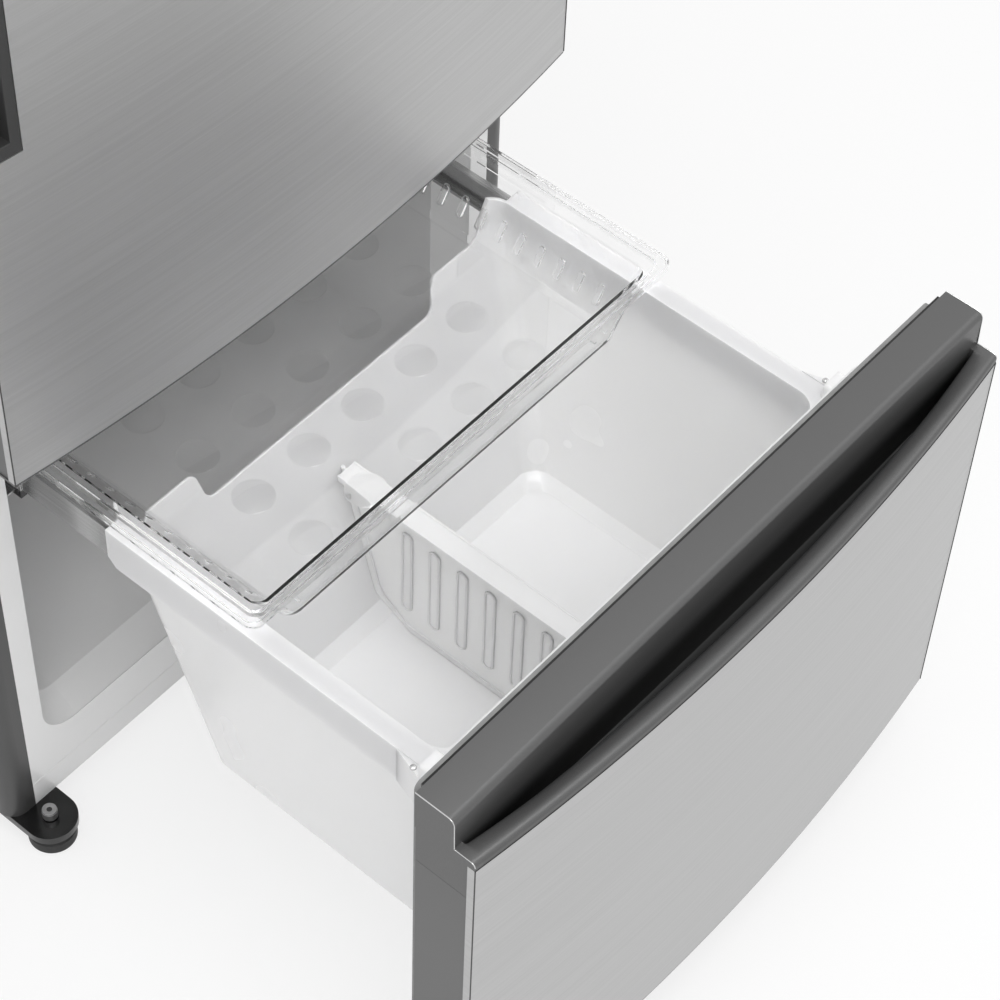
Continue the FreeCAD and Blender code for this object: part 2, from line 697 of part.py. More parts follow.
def compressor():
    """Domed compressor shell on its foot plate, with a terminal box."""
    y = BACK - MACHINE_MIDDLE
    z = BASE_HEIGHT + BASE_PLATE_THICKNESS + MOUNT_HEIGHT
    top = z + COMPRESSOR_HEIGHT
    seam = z + COMPRESSOR_SEAM
    half_x, half_y = COMPRESSOR_PLATE_HALF
    profile = [
        (0, z + 3), (COMPRESSOR_RADIUS - 18, z + 3), (COMPRESSOR_RADIUS, z + 34),
        (COMPRESSOR_RADIUS, seam), (COMPRESSOR_RADIUS + 3, seam), (COMPRESSOR_RADIUS + 3, seam + 6),
        (COMPRESSOR_RADIUS, seam + 6), (COMPRESSOR_RADIUS, top - 30), (COMPRESSOR_RADIUS - 22, top - 8),
        (COMPRESSOR_RADIUS - 50, top), (0, top),
    ]
    wire = outline(profile, lambda u, v: V(COMPRESSOR_X + u, y, v))
    dome = Part.Face(wire).revolve(V(COMPRESSOR_X, y, 0), Z_AXIS, 360)
    plate = prism_z(rectangle(COMPRESSOR_X - half_x, COMPRESSOR_X + half_x, y - half_y, y + half_y,
                              MOUNT_INSET), z, z + COMPRESSOR_PLATE)
    terminal = box(COMPRESSOR_X + COMPRESSOR_RADIUS - 14, COMPRESSOR_X + COMPRESSOR_RADIUS + 22,
                   y - 26, y + 26, seam - 34, seam + 12)
    return fuse([dome, plate, terminal])


def compressor_mounts():
    """Four rubber grommets under the compressor's foot plate."""
    y = BACK - MACHINE_MIDDLE
    z = BASE_HEIGHT + BASE_PLATE_THICKNESS
    reach_x, reach_y = (half - MOUNT_INSET for half in COMPRESSOR_PLATE_HALF)
    mounts = []
    for dx in (-reach_x, reach_x):
        for dy in (-reach_y, reach_y):
            foot_face = hexagon(MOUNT_RADIUS, lambda u, v: V(COMPRESSOR_X + dx + u, y + dy + v, z))
            mounts.append(foot_face.extrude(V(0, 0, MOUNT_HEIGHT)))
    return Part.makeCompound(mounts)


FAN_SPACING = 210.0           # compressor axis to the middle of the condenser fan
FAN_X = COMPRESSOR_X + FAN_SPACING
CONDENSER_X0 = FAN_X + 55.0
CONDENSER_X1 = HALF - 53.0
CONDENSER_TUBE = 3.0
CONDENSER_LIFT = 32.0         # lowest tube above the base plate
CONDENSER_PLATE = 1.5
CONDENSER_PLATE_HALF = 26.0
CONDENSER_ROWS = 4
CONDENSER_PITCH = 36.0


def condenser():
    """Serpentine condenser coil held by two end plates that stand on the base plate."""
    y = BACK - MACHINE_MIDDLE
    foot = BASE_HEIGHT + BASE_PLATE_THICKNESS
    z0 = foot + CONDENSER_LIFT
    radius = CONDENSER_PITCH / 2
    parts = []
    for row in range(CONDENSER_ROWS):
        z = z0 + row * CONDENSER_PITCH
        run = hexagon(CONDENSER_TUBE, lambda u, v: V(CONDENSER_X0, y + u, z + v))
        parts.append(run.extrude(V(CONDENSER_X1 - CONDENSER_X0, 0, 0)))
        if row + 1 < CONDENSER_ROWS:
            side = 1 if row % 2 == 0 else -1
            end = CONDENSER_X1 if side > 0 else CONDENSER_X0
            bend = hexagon(CONDENSER_TUBE, lambda u, v: V(end, y + u, z + v))
            parts.append(bend.revolve(V(end, y, z + radius), V(0, -side, 0), 180))
    top = z0 + (CONDENSER_ROWS - 1) * CONDENSER_PITCH + 12
    half = CONDENSER_PLATE_HALF
    for x in (CONDENSER_X0 + 5, CONDENSER_X1 - 5 - CONDENSER_PLATE):
        parts.append(box(x, x + CONDENSER_PLATE, y - half, y + half, foot, top))
    return fuse(parts)


FAN_RADIUS = 58.0
FAN_HUB = 16.0
FAN_CLEARANCE = 4.0
BLADE_COUNT = 5
FAN_SHAFT = 4.0


def fan(radius, hub, width):
    """Axial fan about +X: hub with pitched blades and a blind bore for the motor shaft."""
    body = cylinder(V(-width / 2, 0, 0), X_AXIS, hub, width)
    parts = [body]
    chord = width * 0.55
    blade = box(-1.0, 1.0, -chord, chord, hub * 0.8, math.sqrt(radius ** 2 - chord ** 2))
    blade = turned(blade, V(0, 0, 0), Z_AXIS, 40)
    for index in range(BLADE_COUNT):
        parts.append(turned(blade, V(0, 0, 0), X_AXIS, index * 360.0 / BLADE_COUNT))
    bore = cylinder(V(-width / 2 - 1, 0, 0), X_AXIS, FAN_SHAFT + RUNNING_CLEARANCE, width * 0.7)
    return fuse(parts).cut(bore)


CONDENSER_FAN_WIDTH = 26.0
FAN_AXIS_HEIGHT = 118.0
SHROUD_MARGIN = 20.0          # shroud plate around the fan's opening
SHROUD_THICKNESS = 8.0
FAN_MOTOR_RADIUS = 28.0
FAN_MOTOR_LENGTH = 42.0
FAN_ARM_WIDTH = 8.0
FAN_ARM_DEPTH = 6.0


def condenser_fan():
    return moved(fan(FAN_RADIUS, FAN_HUB, CONDENSER_FAN_WIDTH), FAN_X, BACK - MACHINE_MIDDLE,
                 FAN_AXIS_HEIGHT)


def spider(inner, outer, width, span):
    """Four diagonal arms about +X; each is a block between two radii, over a span of x."""
    arm = box(span[0], span[1], -width / 2, width / 2, inner, outer)
    return [turned(arm, V(0, 0, 0), X_AXIS, degrees) for degrees in (45, 135, 225, 315)]


def condenser_fan_mount():
    """Fan shroud standing on the base plate, with the motor held behind the fan."""
    foot = BASE_HEIGHT + BASE_PLATE_THICKNESS - FAN_AXIS_HEIGHT
    opening = FAN_RADIUS + FAN_CLEARANCE
    half = opening + SHROUD_MARGIN
    top = opening + SHROUD_MARGIN / 2
    front = CONDENSER_FAN_WIDTH / 2
    plate = prism_x([(-half, foot), (half, foot), (half, top, 16), (-half, top, 16)],
                    front - SHROUD_THICKNESS, front)
    plate = plate.cut(cylinder(V(0, 0, 0), X_AXIS, opening, 2 * front))
    motor_front = -front - FAN_CLEARANCE
    motor = cylinder(V(motor_front - FAN_MOTOR_LENGTH, 0, 0), X_AXIS, FAN_MOTOR_RADIUS, FAN_MOTOR_LENGTH)
    shaft = cylinder(V(motor_front, 0, 0), X_AXIS, FAN_SHAFT, FAN_CLEARANCE + CONDENSER_FAN_WIDTH * 0.6)
    arm_back = motor_front - FAN_MOTOR_LENGTH / 2
    arms = spider(FAN_MOTOR_RADIUS - 8, half - 4, FAN_ARM_WIDTH, (arm_back - FAN_ARM_DEPTH, arm_back))
    stays = spider(opening + 4, half - 4, FAN_ARM_WIDTH, (arm_back - FAN_ARM_DEPTH, front))
    return moved(fuse([plate, motor, shaft] + arms + stays), FAN_X, BACK - MACHINE_MIDDLE, FAN_AXIS_HEIGHT)


DRAIN_PAN_HALF_DEPTH = 70.0
DRAIN_PAN_HEIGHT = 16.0
DRAIN_PAN_WALL = 2.0


def drain_pan():
    """Shallow evaporation pan on the base plate, under the condenser."""
    y = BACK - MACHINE_MIDDLE
    z = BASE_HEIGHT + BASE_PLATE_THICKNESS
    x0 = CONDENSER_X0 + 16
    x1 = CONDENSER_X1 - 16
    half = DRAIN_PAN_HALF_DEPTH
    wall = DRAIN_PAN_WALL
    outer = prism_z(rectangle(x0, x1, y - half, y + half, 12), z, z + DRAIN_PAN_HEIGHT)
    inner = prism_z(rectangle(x0 + wall, x1 - wall, y - half + wall, y + half - wall, 12 - wall),
                    z + wall, z + DRAIN_PAN_HEIGHT + 1)
    return outer.cut(inner)


VENT_COUNT = 7
VENT_PITCH = 18.0
VENT_LENGTH = 190.0
VENT_HEIGHT = 5.0
VENT_BOTTOM = 110.0
VENT_INSET = 228.0            # middle of the right louvres inside the cabinet's side
COVER_SHEET = 1.5
GLAND_X = HALF - 48.0
GLAND_Z = 300.0
GLAND_RADIUS = 9.0
GLAND_FLANGE = 3.0
GLAND_BORE = 4.0
GLAND_LENGTH = 6.0


def machine_cover():
    """Rear cover of the machine compartment with two groups of louvres."""
    y = BACK - COVER_RECESS
    cover = box(-HALF + SHEET, HALF - SHEET, y, y + COVER_SHEET, BASE_HEIGHT + BASE_PLATE_THICKNESS,
                MACHINE_TOP)
    vents = []
    for centre in (COMPRESSOR_X, HALF - VENT_INSET):
        for row in range(VENT_COUNT):
            z = VENT_BOTTOM + row * VENT_PITCH
            slot = lozenge(centre - VENT_LENGTH / 2, centre + VENT_LENGTH / 2, z, z + VENT_HEIGHT)
            vents.append(prism_y(slot, y - 2, y + 4))
    vents.append(cylinder(V(GLAND_X, y - 2, GLAND_Z), Y_AXIS, GLAND_RADIUS, 6))
    return cover.cut(vents)


def cord_gland():
    """Grommet in the rear cover where the supply lead would enter."""
    y = BACK - COVER_RECESS
    flange = GLAND_RADIUS + GLAND_FLANGE
    profile = [
        (GLAND_BORE, 0), (GLAND_RADIUS, 0), (GLAND_RADIUS, COVER_SHEET), (flange, COVER_SHEET),
        (flange - 2, GLAND_LENGTH), (GLAND_BORE, GLAND_LENGTH),
    ]
    wire = outline(profile, lambda u, v: V(GLAND_X + u, y + v, GLAND_Z))
    return Part.Face(wire).revolve(V(GLAND_X, y, GLAND_Z), Y_AXIS, 360)


EVAPORATOR_HALF = FREEZER_HALF_WIDTH - 52.0
EVAPORATOR_HEIGHT = 74.0
EVAPORATOR_DEPTH = 54.0
EVAPORATOR_GAP = 8.0          # evaporator ahead of the liner's back
EVAPORATOR_FINS = 9
EVAPORATOR_TUBE = 4.0
RETURN_SLOTS = 7
RETURN_SLOT_HALF = 24.0
RETURN_SLOT_HEIGHT = 6.0
RETURN_SLOT_LIFT = 14.0
EVAPORATOR_COVER_AHEAD = 78.0   # cover ahead of the liner's back
EVAPORATOR_COVER = 2.5
EVAPORATOR_FAN_RADIUS = 42.0
EVAPORATOR_FAN_WIDTH = 20.0
EVAPORATOR_FAN_Z = 538.0
FREEZER_MOTOR_RADIUS = 20.0
FREEZER_MOTOR_LENGTH = 26.0


def evaporator():
    """Finned evaporator lying on the shelf behind the freezer compartment."""
    z0 = HUMP_HEIGHT
    z1 = z0 + EVAPORATOR_HEIGHT
    y1 = LINER_BACK - EVAPORATOR_GAP
    y0 = y1 - EVAPORATOR_DEPTH
    parts = []
    span = 2 * EVAPORATOR_HALF
    for fin in range(EVAPORATOR_FINS):
        x = -EVAPORATOR_HALF + span * fin / (EVAPORATOR_FINS - 1)
        parts.append(box(x - 1, x + 1, y0, y1, z0, z1))
    start = -EVAPORATOR_HALF - 8
    for z in (z0 + 20, z0 + 54):
        tube = hexagon(EVAPORATOR_TUBE, lambda u, v: V(start, (y0 + y1) / 2 + u, z + v))
        parts.append(tube.extrude(V(span + 16, 0, 0)))
    return fuse(parts)


def evaporator_cover():
    """Moulded panel in front of the evaporator, with the fan's outlet and a return grille."""
    y = LINER_BACK - EVAPORATOR_COVER_AHEAD
    section = rectangle(-FREEZER_HALF_WIDTH, FREEZER_HALF_WIDTH, HUMP_HEIGHT, FREEZER_CEILING)
    panel = prism_y(section, y, y + EVAPORATOR_COVER)
    limit = prism_y(rectangle(-FREEZER_HALF_WIDTH, FREEZER_HALF_WIDTH, FREEZER_FLOOR, FREEZER_CEILING,
                              LINER_RADIUS), y - 1, y + 10)
    panel = panel.common(limit)
    cuts = [cylinder(V(0, y - 1, EVAPORATOR_FAN_Z), Y_AXIS, EVAPORATOR_FAN_RADIUS + 3, 10)]
    first = RETURN_SLOT_HALF * 2 + 4 - EVAPORATOR_HALF
    pitch = -2 * first / (RETURN_SLOTS - 1)
    low = HUMP_HEIGHT + RETURN_SLOT_LIFT
    for index in range(RETURN_SLOTS):
        x = first + index * pitch
        slot = lozenge(x - RETURN_SLOT_HALF, x + RETURN_SLOT_HALF, low, low + RETURN_SLOT_HEIGHT)
        cuts.append(prism_y(slot, y - 1, y + 10))
    return panel.cut(cuts)


def evaporator_fan():
    """Fan that blows forwards through the outlet of the evaporator cover."""
    body = turned(fan(EVAPORATOR_FAN_RADIUS, 12, EVAPORATOR_FAN_WIDTH), V(0, 0, 0), Z_AXIS, -90)
    y = LINER_BACK - EVAPORATOR_COVER_AHEAD + EVAPORATOR_COVER + EVAPORATOR_FAN_WIDTH / 2
    return moved(body, 0, y, EVAPORATOR_FAN_Z)


def evaporator_fan_motor():
    """Motor behind the evaporator fan, held by a frame on the back of the cover."""
    width = EVAPORATOR_FAN_WIDTH
    motor = cylinder(V(-width - 3 - FREEZER_MOTOR_LENGTH, 0, 0), X_AXIS, FREEZER_MOTOR_RADIUS,
                     FREEZER_MOTOR_LENGTH)
    shaft = cylinder(V(-width - 4, 0, 0), X_AXIS, FAN_SHAFT, width * 0.6 + 4)
    outer = EVAPORATOR_FAN_RADIUS + 14
    arms = spider(FREEZER_MOTOR_RADIUS - 5, outer, FAN_ARM_DEPTH, (-width - 12, -width - 6))
    posts = spider(outer - 8, outer, FAN_ARM_DEPTH, (-width - 12, 0))
    body = turned(fuse([motor, shaft] + arms + posts), V(0, 0, 0), Z_AXIS, -90)
    return moved(body, 0, LINER_BACK - EVAPORATOR_COVER_AHEAD + EVAPORATOR_COVER, EVAPORATOR_FAN_Z)


# ---------------------------------------------------------------- inside the refrigerator
def shelf_outline(inset):
    half = FRIDGE_HALF_WIDTH - SHELF_SIDE_GAP - inset
    return rectangle(-half, half, FACE + SHELF_FRONT + inset, FACE + SHELF_FRONT + SHELF_DEPTH - inset)


def shelf_frame(height):
    """Moulded frame of a shelf, with a rebate for its pane."""
    ring = prism_z(shelf_outline(0.0), height, height + SHELF_FRAME_HEIGHT)
    opening = prism_z(shelf_outline(SHELF_FRAME_WIDTH), height - 1, height + SHELF_FRAME_HEIGHT + 1)
    rebate = prism_z(shelf_outline(SHELF_FRAME_WIDTH - PANE_LIP), height + SHELF_FRAME_HEIGHT - PANE,
                     height + SHELF_FRAME_HEIGHT + 1)
    return ring.cut([opening, rebate])


def shelf_pane(height):
    z = height + SHELF_FRAME_HEIGHT - PANE
    return prism_z(shelf_outline(SHELF_FRAME_WIDTH - PANE_LIP + 0.1), z, z + PANE)


CRISPER_GAP = 3.0
CRISPER_WALL = 2.5
CRISPER_TOP_GAP = 14.0


def crisper():
    """Right crisper bin: tapered walls, a rounded floor and a grip on the front edge."""
    x0 = CRISPER_GAP
    x1 = FRIDGE_HALF_WIDTH - LEDGE_WIDTH - CRISPER_GAP - 2
    y0 = FACE + SHELF_FRONT
    y1 = y0 + SHELF_DEPTH - 60
    z0 = FRIDGE_FLOOR + SEAT_GAP
    z1 = CRISPER_COVER_HEIGHT - 2 * LEDGE_HEIGHT - CRISPER_TOP_GAP
    taper = 10.0

    def ring(z, inset, radius):
        return outline(rectangle(x0 + inset, x1 - inset, y0 + inset, y1 - inset, radius),
                       lambda u, v: V(u, v, z))
    outer = loft([ring(z0, taper, 18), ring(z1, 0, 20)])
    wall = CRISPER_WALL
    inner = loft([ring(z0 + wall, taper + wall, 15), ring(z1 + 1, wall, 18)])
    bin_body = outer.cut(inner)
    grip = prism_x([(y0 - 14, z1 - 3), (y0 + 1, z1 - 3), (y0 + 1, z1), (y0 - 14, z1, 1.4)],
                   x0 + 70, x1 - 70)
    return fuse([bin_body, grip])


CONTROL_HALF = 130.0
CONTROL_HEIGHT = 46.0
CONTROL_FRONT = 130.0
CONTROL_DEPTH = 190.0
KNOB_RADIUS = 19.0
KNOB_LENGTH = 15.0
KNOB_STEM = 4.0
KNOB_X = -80.0
LAMP_INNER = 10.0             # lamp lens to the plane of symmetry
LAMP_MARGIN = 20.0            # lamp lens inside the housing's end
LAMP_DEPTH = 22.0
LAMP_PROUD = 5.0


def lamp_box(proud):
    """Recess of the lamp, reaching below the control housing's underside by a given amount."""
    y0 = FACE + CONTROL_FRONT
    underside = FRIDGE_CEILING - CONTROL_HEIGHT
    return box(LAMP_INNER, CONTROL_HALF - LAMP_MARGIN, y0 + LAMP_MARGIN * 2, y0 + CONTROL_DEPTH - LAMP_MARGIN,
               underside - proud, underside + LAMP_DEPTH)


def control_housing():
    """Control and lamp housing under the refrigerator's ceiling."""
    y0 = FACE + CONTROL_FRONT
    z1 = FRIDGE_CEILING
    corners = [
        (y0 + 16, z1),
        (y0, z1 - CONTROL_HEIGHT, 8),
        (y0 + CONTROL_DEPTH, z1 - CONTROL_HEIGHT + 14, 10),
        (y0 + CONTROL_DEPTH + 8, z1),
    ]
    body = prism_x(corners, -CONTROL_HALF, CONTROL_HALF)
    lamp = lamp_box(LAMP_PROUD)
    seat = cylinder(knob_centre() + Y_AXIS * 2, Y_AXIS, KNOB_STEM + RUNNING_CLEARANCE, 20)
    flat = cylinder(knob_centre() - Y_AXIS * 30, Y_AXIS, KNOB_RADIUS + 1.5, 32)
    return body.cut([lamp, flat, seat])


def knob_centre():
    return V(KNOB_X, FACE + CONTROL_FRONT + 8, FRIDGE_CEILING - CONTROL_HEIGHT / 2)


def temperature_knob():
    """Thermostat knob with a raised pointer rib."""
    centre = knob_centre()
    y = centre.y + 2 - SEAT_GAP
    disc = cylinder(V(centre.x, y, centre.z), -Y_AXIS, KNOB_RADIUS, 5)
    grip = cylinder(V(centre.x, y - 4, centre.z), -Y_AXIS, KNOB_RADIUS * 0.55, KNOB_LENGTH - 4)
    rib = box(centre.x - 2.5, centre.x + 2.5, y - KNOB_LENGTH, y - 4, centre.z - KNOB_RADIUS * 0.5,
              centre.z + KNOB_RADIUS * 0.85)
    stem = cylinder(V(centre.x, y - 1, centre.z), Y_AXIS, KNOB_STEM, 15)
    return fuse([disc, grip, rib, stem])


def lamp_lens():
    """Clear lens let into the underside of the control housing."""
    return lamp_box(-LAMP_DEPTH / 10)


# ---------------------------------------------------------------- refrigerator door
def front_skin(back, z0, z1):
    """Bowed stainless sheet with short returns round its side edges."""
    outer = bowed(FRONT_HALF, back, FRONT_DEPTH, z0, z1)
    inner = bowed(FRONT_HALF - SKIN, back + 1, FRONT_DEPTH + 1, z0 - 1, z1 + 1, SKIN)
    keep = box(-FRONT_HALF - 1, FRONT_HALF + 1, back - FRONT_DEPTH - FRONT_BOW - 1,
               back - FRONT_DEPTH + SKIN_RETURN, z0 - 1, z1 + 1)
    return outer.cut(inner).common(keep)


def insert_box(grow=0.0):
    """Space that the door's handle insert takes at the opening edge."""
    z0 = DOOR_BOTTOM + INSERT_BOTTOM
    return box(-FRONT_HALF - 1, -FRONT_HALF + INSERT_WIDTH + grow,
               DOOR_BACK - FRONT_DEPTH - FRONT_BOW - 1, DOOR_BACK - FRONT_DEPTH + INSERT_DEPTH + grow,
               z0 - grow, z0 + INSERT_HEIGHT + grow)


def door_skin():
    skin = front_skin(DOOR_BACK, DOOR_BOTTOM + CAP_PLATE, DOOR_TOP - CAP_PLATE)
    return skin.cut(insert_box())


def bushing(z, direction, radius, length):
    return cylinder(V(HINGE_X, HINGE_Y, z), direction, radius, length)


def door_core():
    """Foamed steel pan behind the skin; its sides are the dark edges of the door."""
    core = bowed(FRONT_HALF - SKIN, DOOR_BACK, FRONT_DEPTH, DOOR_BOTTOM + CAP_PLATE,
                 DOOR_TOP - CAP_PLATE, SKIN)
    cuts = [
        insert_box(),
        bushing(DOOR_BOTTOM, Z_AXIS, BUSH_RADIUS, PIN_LENGTH + 8),
        bushing(DOOR_TOP, -Z_AXIS, BUSH_RADIUS, PIN_LENGTH + 8),
    ]
    return core.cut(cuts)


def door_cap(z, direction):
    """Moulded end cap with the bush for a hinge pin."""
    z0 = min(z, z + direction * CAP_PLATE)
    plate = bowed(FRONT_HALF, DOOR_BACK, FRONT_DEPTH, z0, z0 + CAP_PLATE, SKIN / 2)
    axis = Z_AXIS * direction
    bush = bushing(z, axis, BUSH_RADIUS, PIN_LENGTH + 8)
    bore = bushing(z - direction, axis, PIN_RADIUS + PIN_CLEARANCE, PIN_LENGTH + 3)
    return fuse([plate, bush]).cut(bore)


def door_handle_insert():
    """Pocket handle in the door's opening edge, with a lip beside the skin."""
    z0 = DOOR_BOTTOM + INSERT_BOTTOM
    z1 = z0 + INSERT_HEIGHT
    blank = bowed(FRONT_HALF, DOOR_BACK, FRONT_DEPTH, z0, z1, SKIN / 2)
    blank = blank.common(insert_box())
    edge = -FRONT_HALF
    lip = edge + INSERT_WIDTH - INSERT_LIP
    front = DOOR_BACK - FRONT_DEPTH
    step = prism_z([(edge - 2, front - FRONT_BOW), (lip, front - FRONT_BOW), (lip, front + 12, 4),
                    (edge + 8, front + 20, 6), (edge - 2, front + 26)],
                   z0 + INSERT_END_WALL, z1 - INSERT_END_WALL)
    pocket = prism_z([(edge + 13, front - 2), (lip, front - 2), (lip + 4, front + 38, 5),
                      (edge + 22, front + 41, 8)], z0 + INSERT_POCKET_END, z1 - INSERT_POCKET_END)
    return blank.cut([step, pocket])


DYKE_HALF = FRIDGE_HALF_WIDTH - 20.0
DYKE_WIDTH = 18.0
DYKE_DEPTH = 46.0             # how far the dykes reach into the compartment
DYKE_END = 44.0


def door_liner():
    """Vacuum-formed door liner with two dykes that carry the bins."""
    z0 = DOOR_BOTTOM + LINER_INSET
    z1 = DOOR_TOP - LINER_INSET
    half = FRONT_HALF - LINER_INSET
    plate = prism_y(rectangle(-half, half, z0, z1, 12), DOOR_BACK, DOOR_BACK + LINER_WALL)
    low = max(z0, FRIDGE_FLOOR) + DYKE_END / 2
    high = min(z1, FRIDGE_CEILING) - DYKE_END / 2
    root = DOOR_BACK + LINER_WALL / 2
    tip = FACE + DYKE_DEPTH
    dyke = prism_x([(root, low), (tip, low + 24, 10), (tip, high - 24, 10), (root, high)],
                   DYKE_HALF - DYKE_WIDTH, DYKE_HALF)
    return fuse([plate, dyke, mirrored(dyke)])


def gasket(back, bottom, top):
    """Magnetic gasket: a grooved strip round the inner face of a door."""
    half = FRONT_HALF - GASKET_INSET
    z0 = bottom + GASKET_INSET
    z1 = top - GASKET_INSET
    y0 = back
    y1 = back + GASKET_GAP - GASKET_CLEARANCE
    outer = prism_y(rectangle(-half, half, z0, z1, 8), y0, y1)
    inner = prism_y(rectangle(-half + GASKET_WIDTH, half - GASKET_WIDTH, z0 + GASKET_WIDTH,
                              z1 - GASKET_WIDTH, 4), y0 - 1, y1 + 1)
    ring = outer.cut(inner)
    middle = GASKET_WIDTH / 2
    slot = 1.5
    wide = prism_y(rectangle(-half + middle - slot, half - middle + slot, z0 + middle - slot,
                             z1 - middle + slot), y1 - slot, y1 + 1)
    narrow = prism_y(rectangle(-half + middle + slot, half - middle - slot, z0 + middle + slot,
                               z1 - middle - slot), y1 - 2 * slot, y1 + 2)
    return ring.cut(wide.cut(narrow))


BIN_HEIGHTS = (704.0, 1010.0, 1330.0)
BIN_WALL = 2.5
BIN_HEIGHT = 96.0
BIN_DEPTH = 98.0


def door_bin(z0):
    """Door bin between the dykes: tapered tray with a raised front guard."""
    half = DYKE_HALF - DYKE_WIDTH - SEAT_GAP
    y0 = DOOR_BACK + LINER_WALL
    y1 = FACE + BIN_DEPTH
    z1 = z0 + BIN_HEIGHT

    def ring(z, inset, radius):
        return outline(rectangle(-half + inset, half - inset, y0 + inset / 3, y1 - inset, radius),
                       lambda u, v: V(u, v, z))
    taper = 9.0
    outer = loft([ring(z0, taper, 14), ring(z1, 0, 16)])
    wall = BIN_WALL
    inner = loft([ring(z0 + wall, taper + wall, 12), ring(z1 + 1, wall, 14)])
    return outer.cut(inner)


# ---------------------------------------------------------------- freezer drawer front
def skin_top():
    return DRAWER_TOP - CAP_BLOCK_HEIGHT - CAP_LIP_HEIGHT - 2


def drawer_skin():
    return front_skin(DRAWER_BACK, DRAWER_BOTTOM + CAP_PLATE, skin_top())


def drawer_core():
    """Foamed steel pan of the drawer front, under the handle cap."""
    return bowed(FRONT_HALF - SKIN, DRAWER_BACK, FRONT_DEPTH, DRAWER_BOTTOM + CAP_PLATE,
                 skin_top() - CAP_BODY_HEIGHT, SKIN)


def drawer_bottom_cap():
    return bowed(FRONT_HALF, DRAWER_BACK, FRONT_DEPTH, DRAWER_BOTTOM, DRAWER_BOTTOM + CAP_PLATE, SKIN / 2)


def lens(inset_end, front_inset, back_depth, z0, z1):
    """Lens-shaped prism between the straight block and the bowed lip."""
    half = FRONT_HALF - inset_end
    corner = DRAWER_BACK - FRONT_DEPTH
    flat = DRAWER_BACK - back_depth
    radius = (FRONT_HALF ** 2 + FRONT_BOW ** 2) / (2 * FRONT_BOW)
    centre_y = corner - FRONT_BOW + radius
    inner = radius - front_inset

    def on_lip(x):
        return V(x, centre_y - math.sqrt(inner ** 2 - x ** 2), z0)
    end_y = min(on_lip(half).y, flat - 0.5)
    left = V(-half, end_y, z0)
    right = V(half, end_y, z0)
    edges = [
        Part.Arc(left, V(0, on_lip(0).y, z0), right).toShape(),
        Part.LineSegment(right, V(half, flat, z0)).toShape(),
        Part.LineSegment(V(half, flat, z0), V(-half, flat, z0)).toShape(),
        Part.LineSegment(V(-half, flat, z0), left).toShape(),
    ]
    return Part.Face(Part.Wire(edges)).extrude(V(0, 0, z1 - z0))


def drawer_cap():
    """Handle cap: straight block, finger pocket and bowed lip in one moulding."""
    block_bottom = DRAWER_TOP - CAP_BLOCK_HEIGHT
    lip_bottom = skin_top()
    block = prism_x([
        (DRAWER_BACK, block_bottom - 4),
        (DRAWER_BACK, DRAWER_TOP),
        (DRAWER_BACK - CAP_BLOCK_DEPTH, DRAWER_TOP, CAP_EDGE_RADIUS),
        (DRAWER_BACK - CAP_BLOCK_DEPTH, block_bottom - 4),
    ], -FRONT_HALF, FRONT_HALF)
    lip = bowed(FRONT_HALF, DRAWER_BACK, FRONT_DEPTH, lip_bottom, block_bottom)
    edges = [edge for edge in lip.Edges
             if edge.BoundBox.ZMin > block_bottom - 0.1
             and edge.BoundBox.YMax < DRAWER_BACK - FRONT_DEPTH + 1]
    lip = lip.makeFillet(CAP_LIP_RADIUS, edges)
    body = bowed(FRONT_HALF - SKIN, DRAWER_BACK, FRONT_DEPTH, lip_bottom - CAP_BODY_HEIGHT, lip_bottom, SKIN)
    cap = fuse([body, lip, block])
    pocket_bottom = block_bottom - CAP_POCKET_DEPTH
    pocket = lens(CAP_END_WALL, CAP_LIP_DEPTH, CAP_BLOCK_DEPTH, pocket_bottom, block_bottom + 1)
    scoop = prism_x([
        (DRAWER_BACK - CAP_BLOCK_DEPTH - 4, block_bottom + 2),
        (DRAWER_BACK - CAP_BLOCK_DEPTH + 2, block_bottom + 2),
        (DRAWER_BACK - CAP_BLOCK_DEPTH + 20, block_bottom - 18, 16),
        (DRAWER_BACK - CAP_BLOCK_DEPTH + 14, pocket_bottom, 12),
        (DRAWER_BACK - CAP_BLOCK_DEPTH - 12, pocket_bottom),
    ], -FRONT_HALF + CAP_END_WALL + 30, FRONT_HALF - CAP_END_WALL - 30)
    return cap.cut([pocket, scoop])


PLINTH_HALF = FREEZER_HALF_WIDTH + 12.0
PLINTH_TIP_HALF = FREEZER_HALF_WIDTH - 5.0
PLINTH_BOTTOM = 150.0
PLINTH_TOP = 571.0
PLINTH_DEPTH = 33.0


def drawer_liner():
    """Inner panel of the drawer front: a sheet with a raised plinth."""
    half = FRONT_HALF - LINER_INSET
    z0 = DRAWER_BOTTOM + LINER_INSET
    z1 = DRAWER_TOP - LINER_INSET
    plate = prism_y(rectangle(-half, half, z0, z1, 12), DRAWER_BACK, DRAWER_BACK + LINER_WALL)

    def ring(y, width, shrink):
        return outline(rectangle(-width, width, PLINTH_BOTTOM + shrink, PLINTH_TOP - shrink, 22),
                       lambda u, v: V(u, y, v))
    root = DRAWER_BACK + LINER_WALL / 2
    plinth = loft([ring(root, PLINTH_HALF, -6), ring(DRAWER_BACK + PLINTH_DEPTH, PLINTH_TIP_HALF, 0)])
    return fuse([plate, plinth])


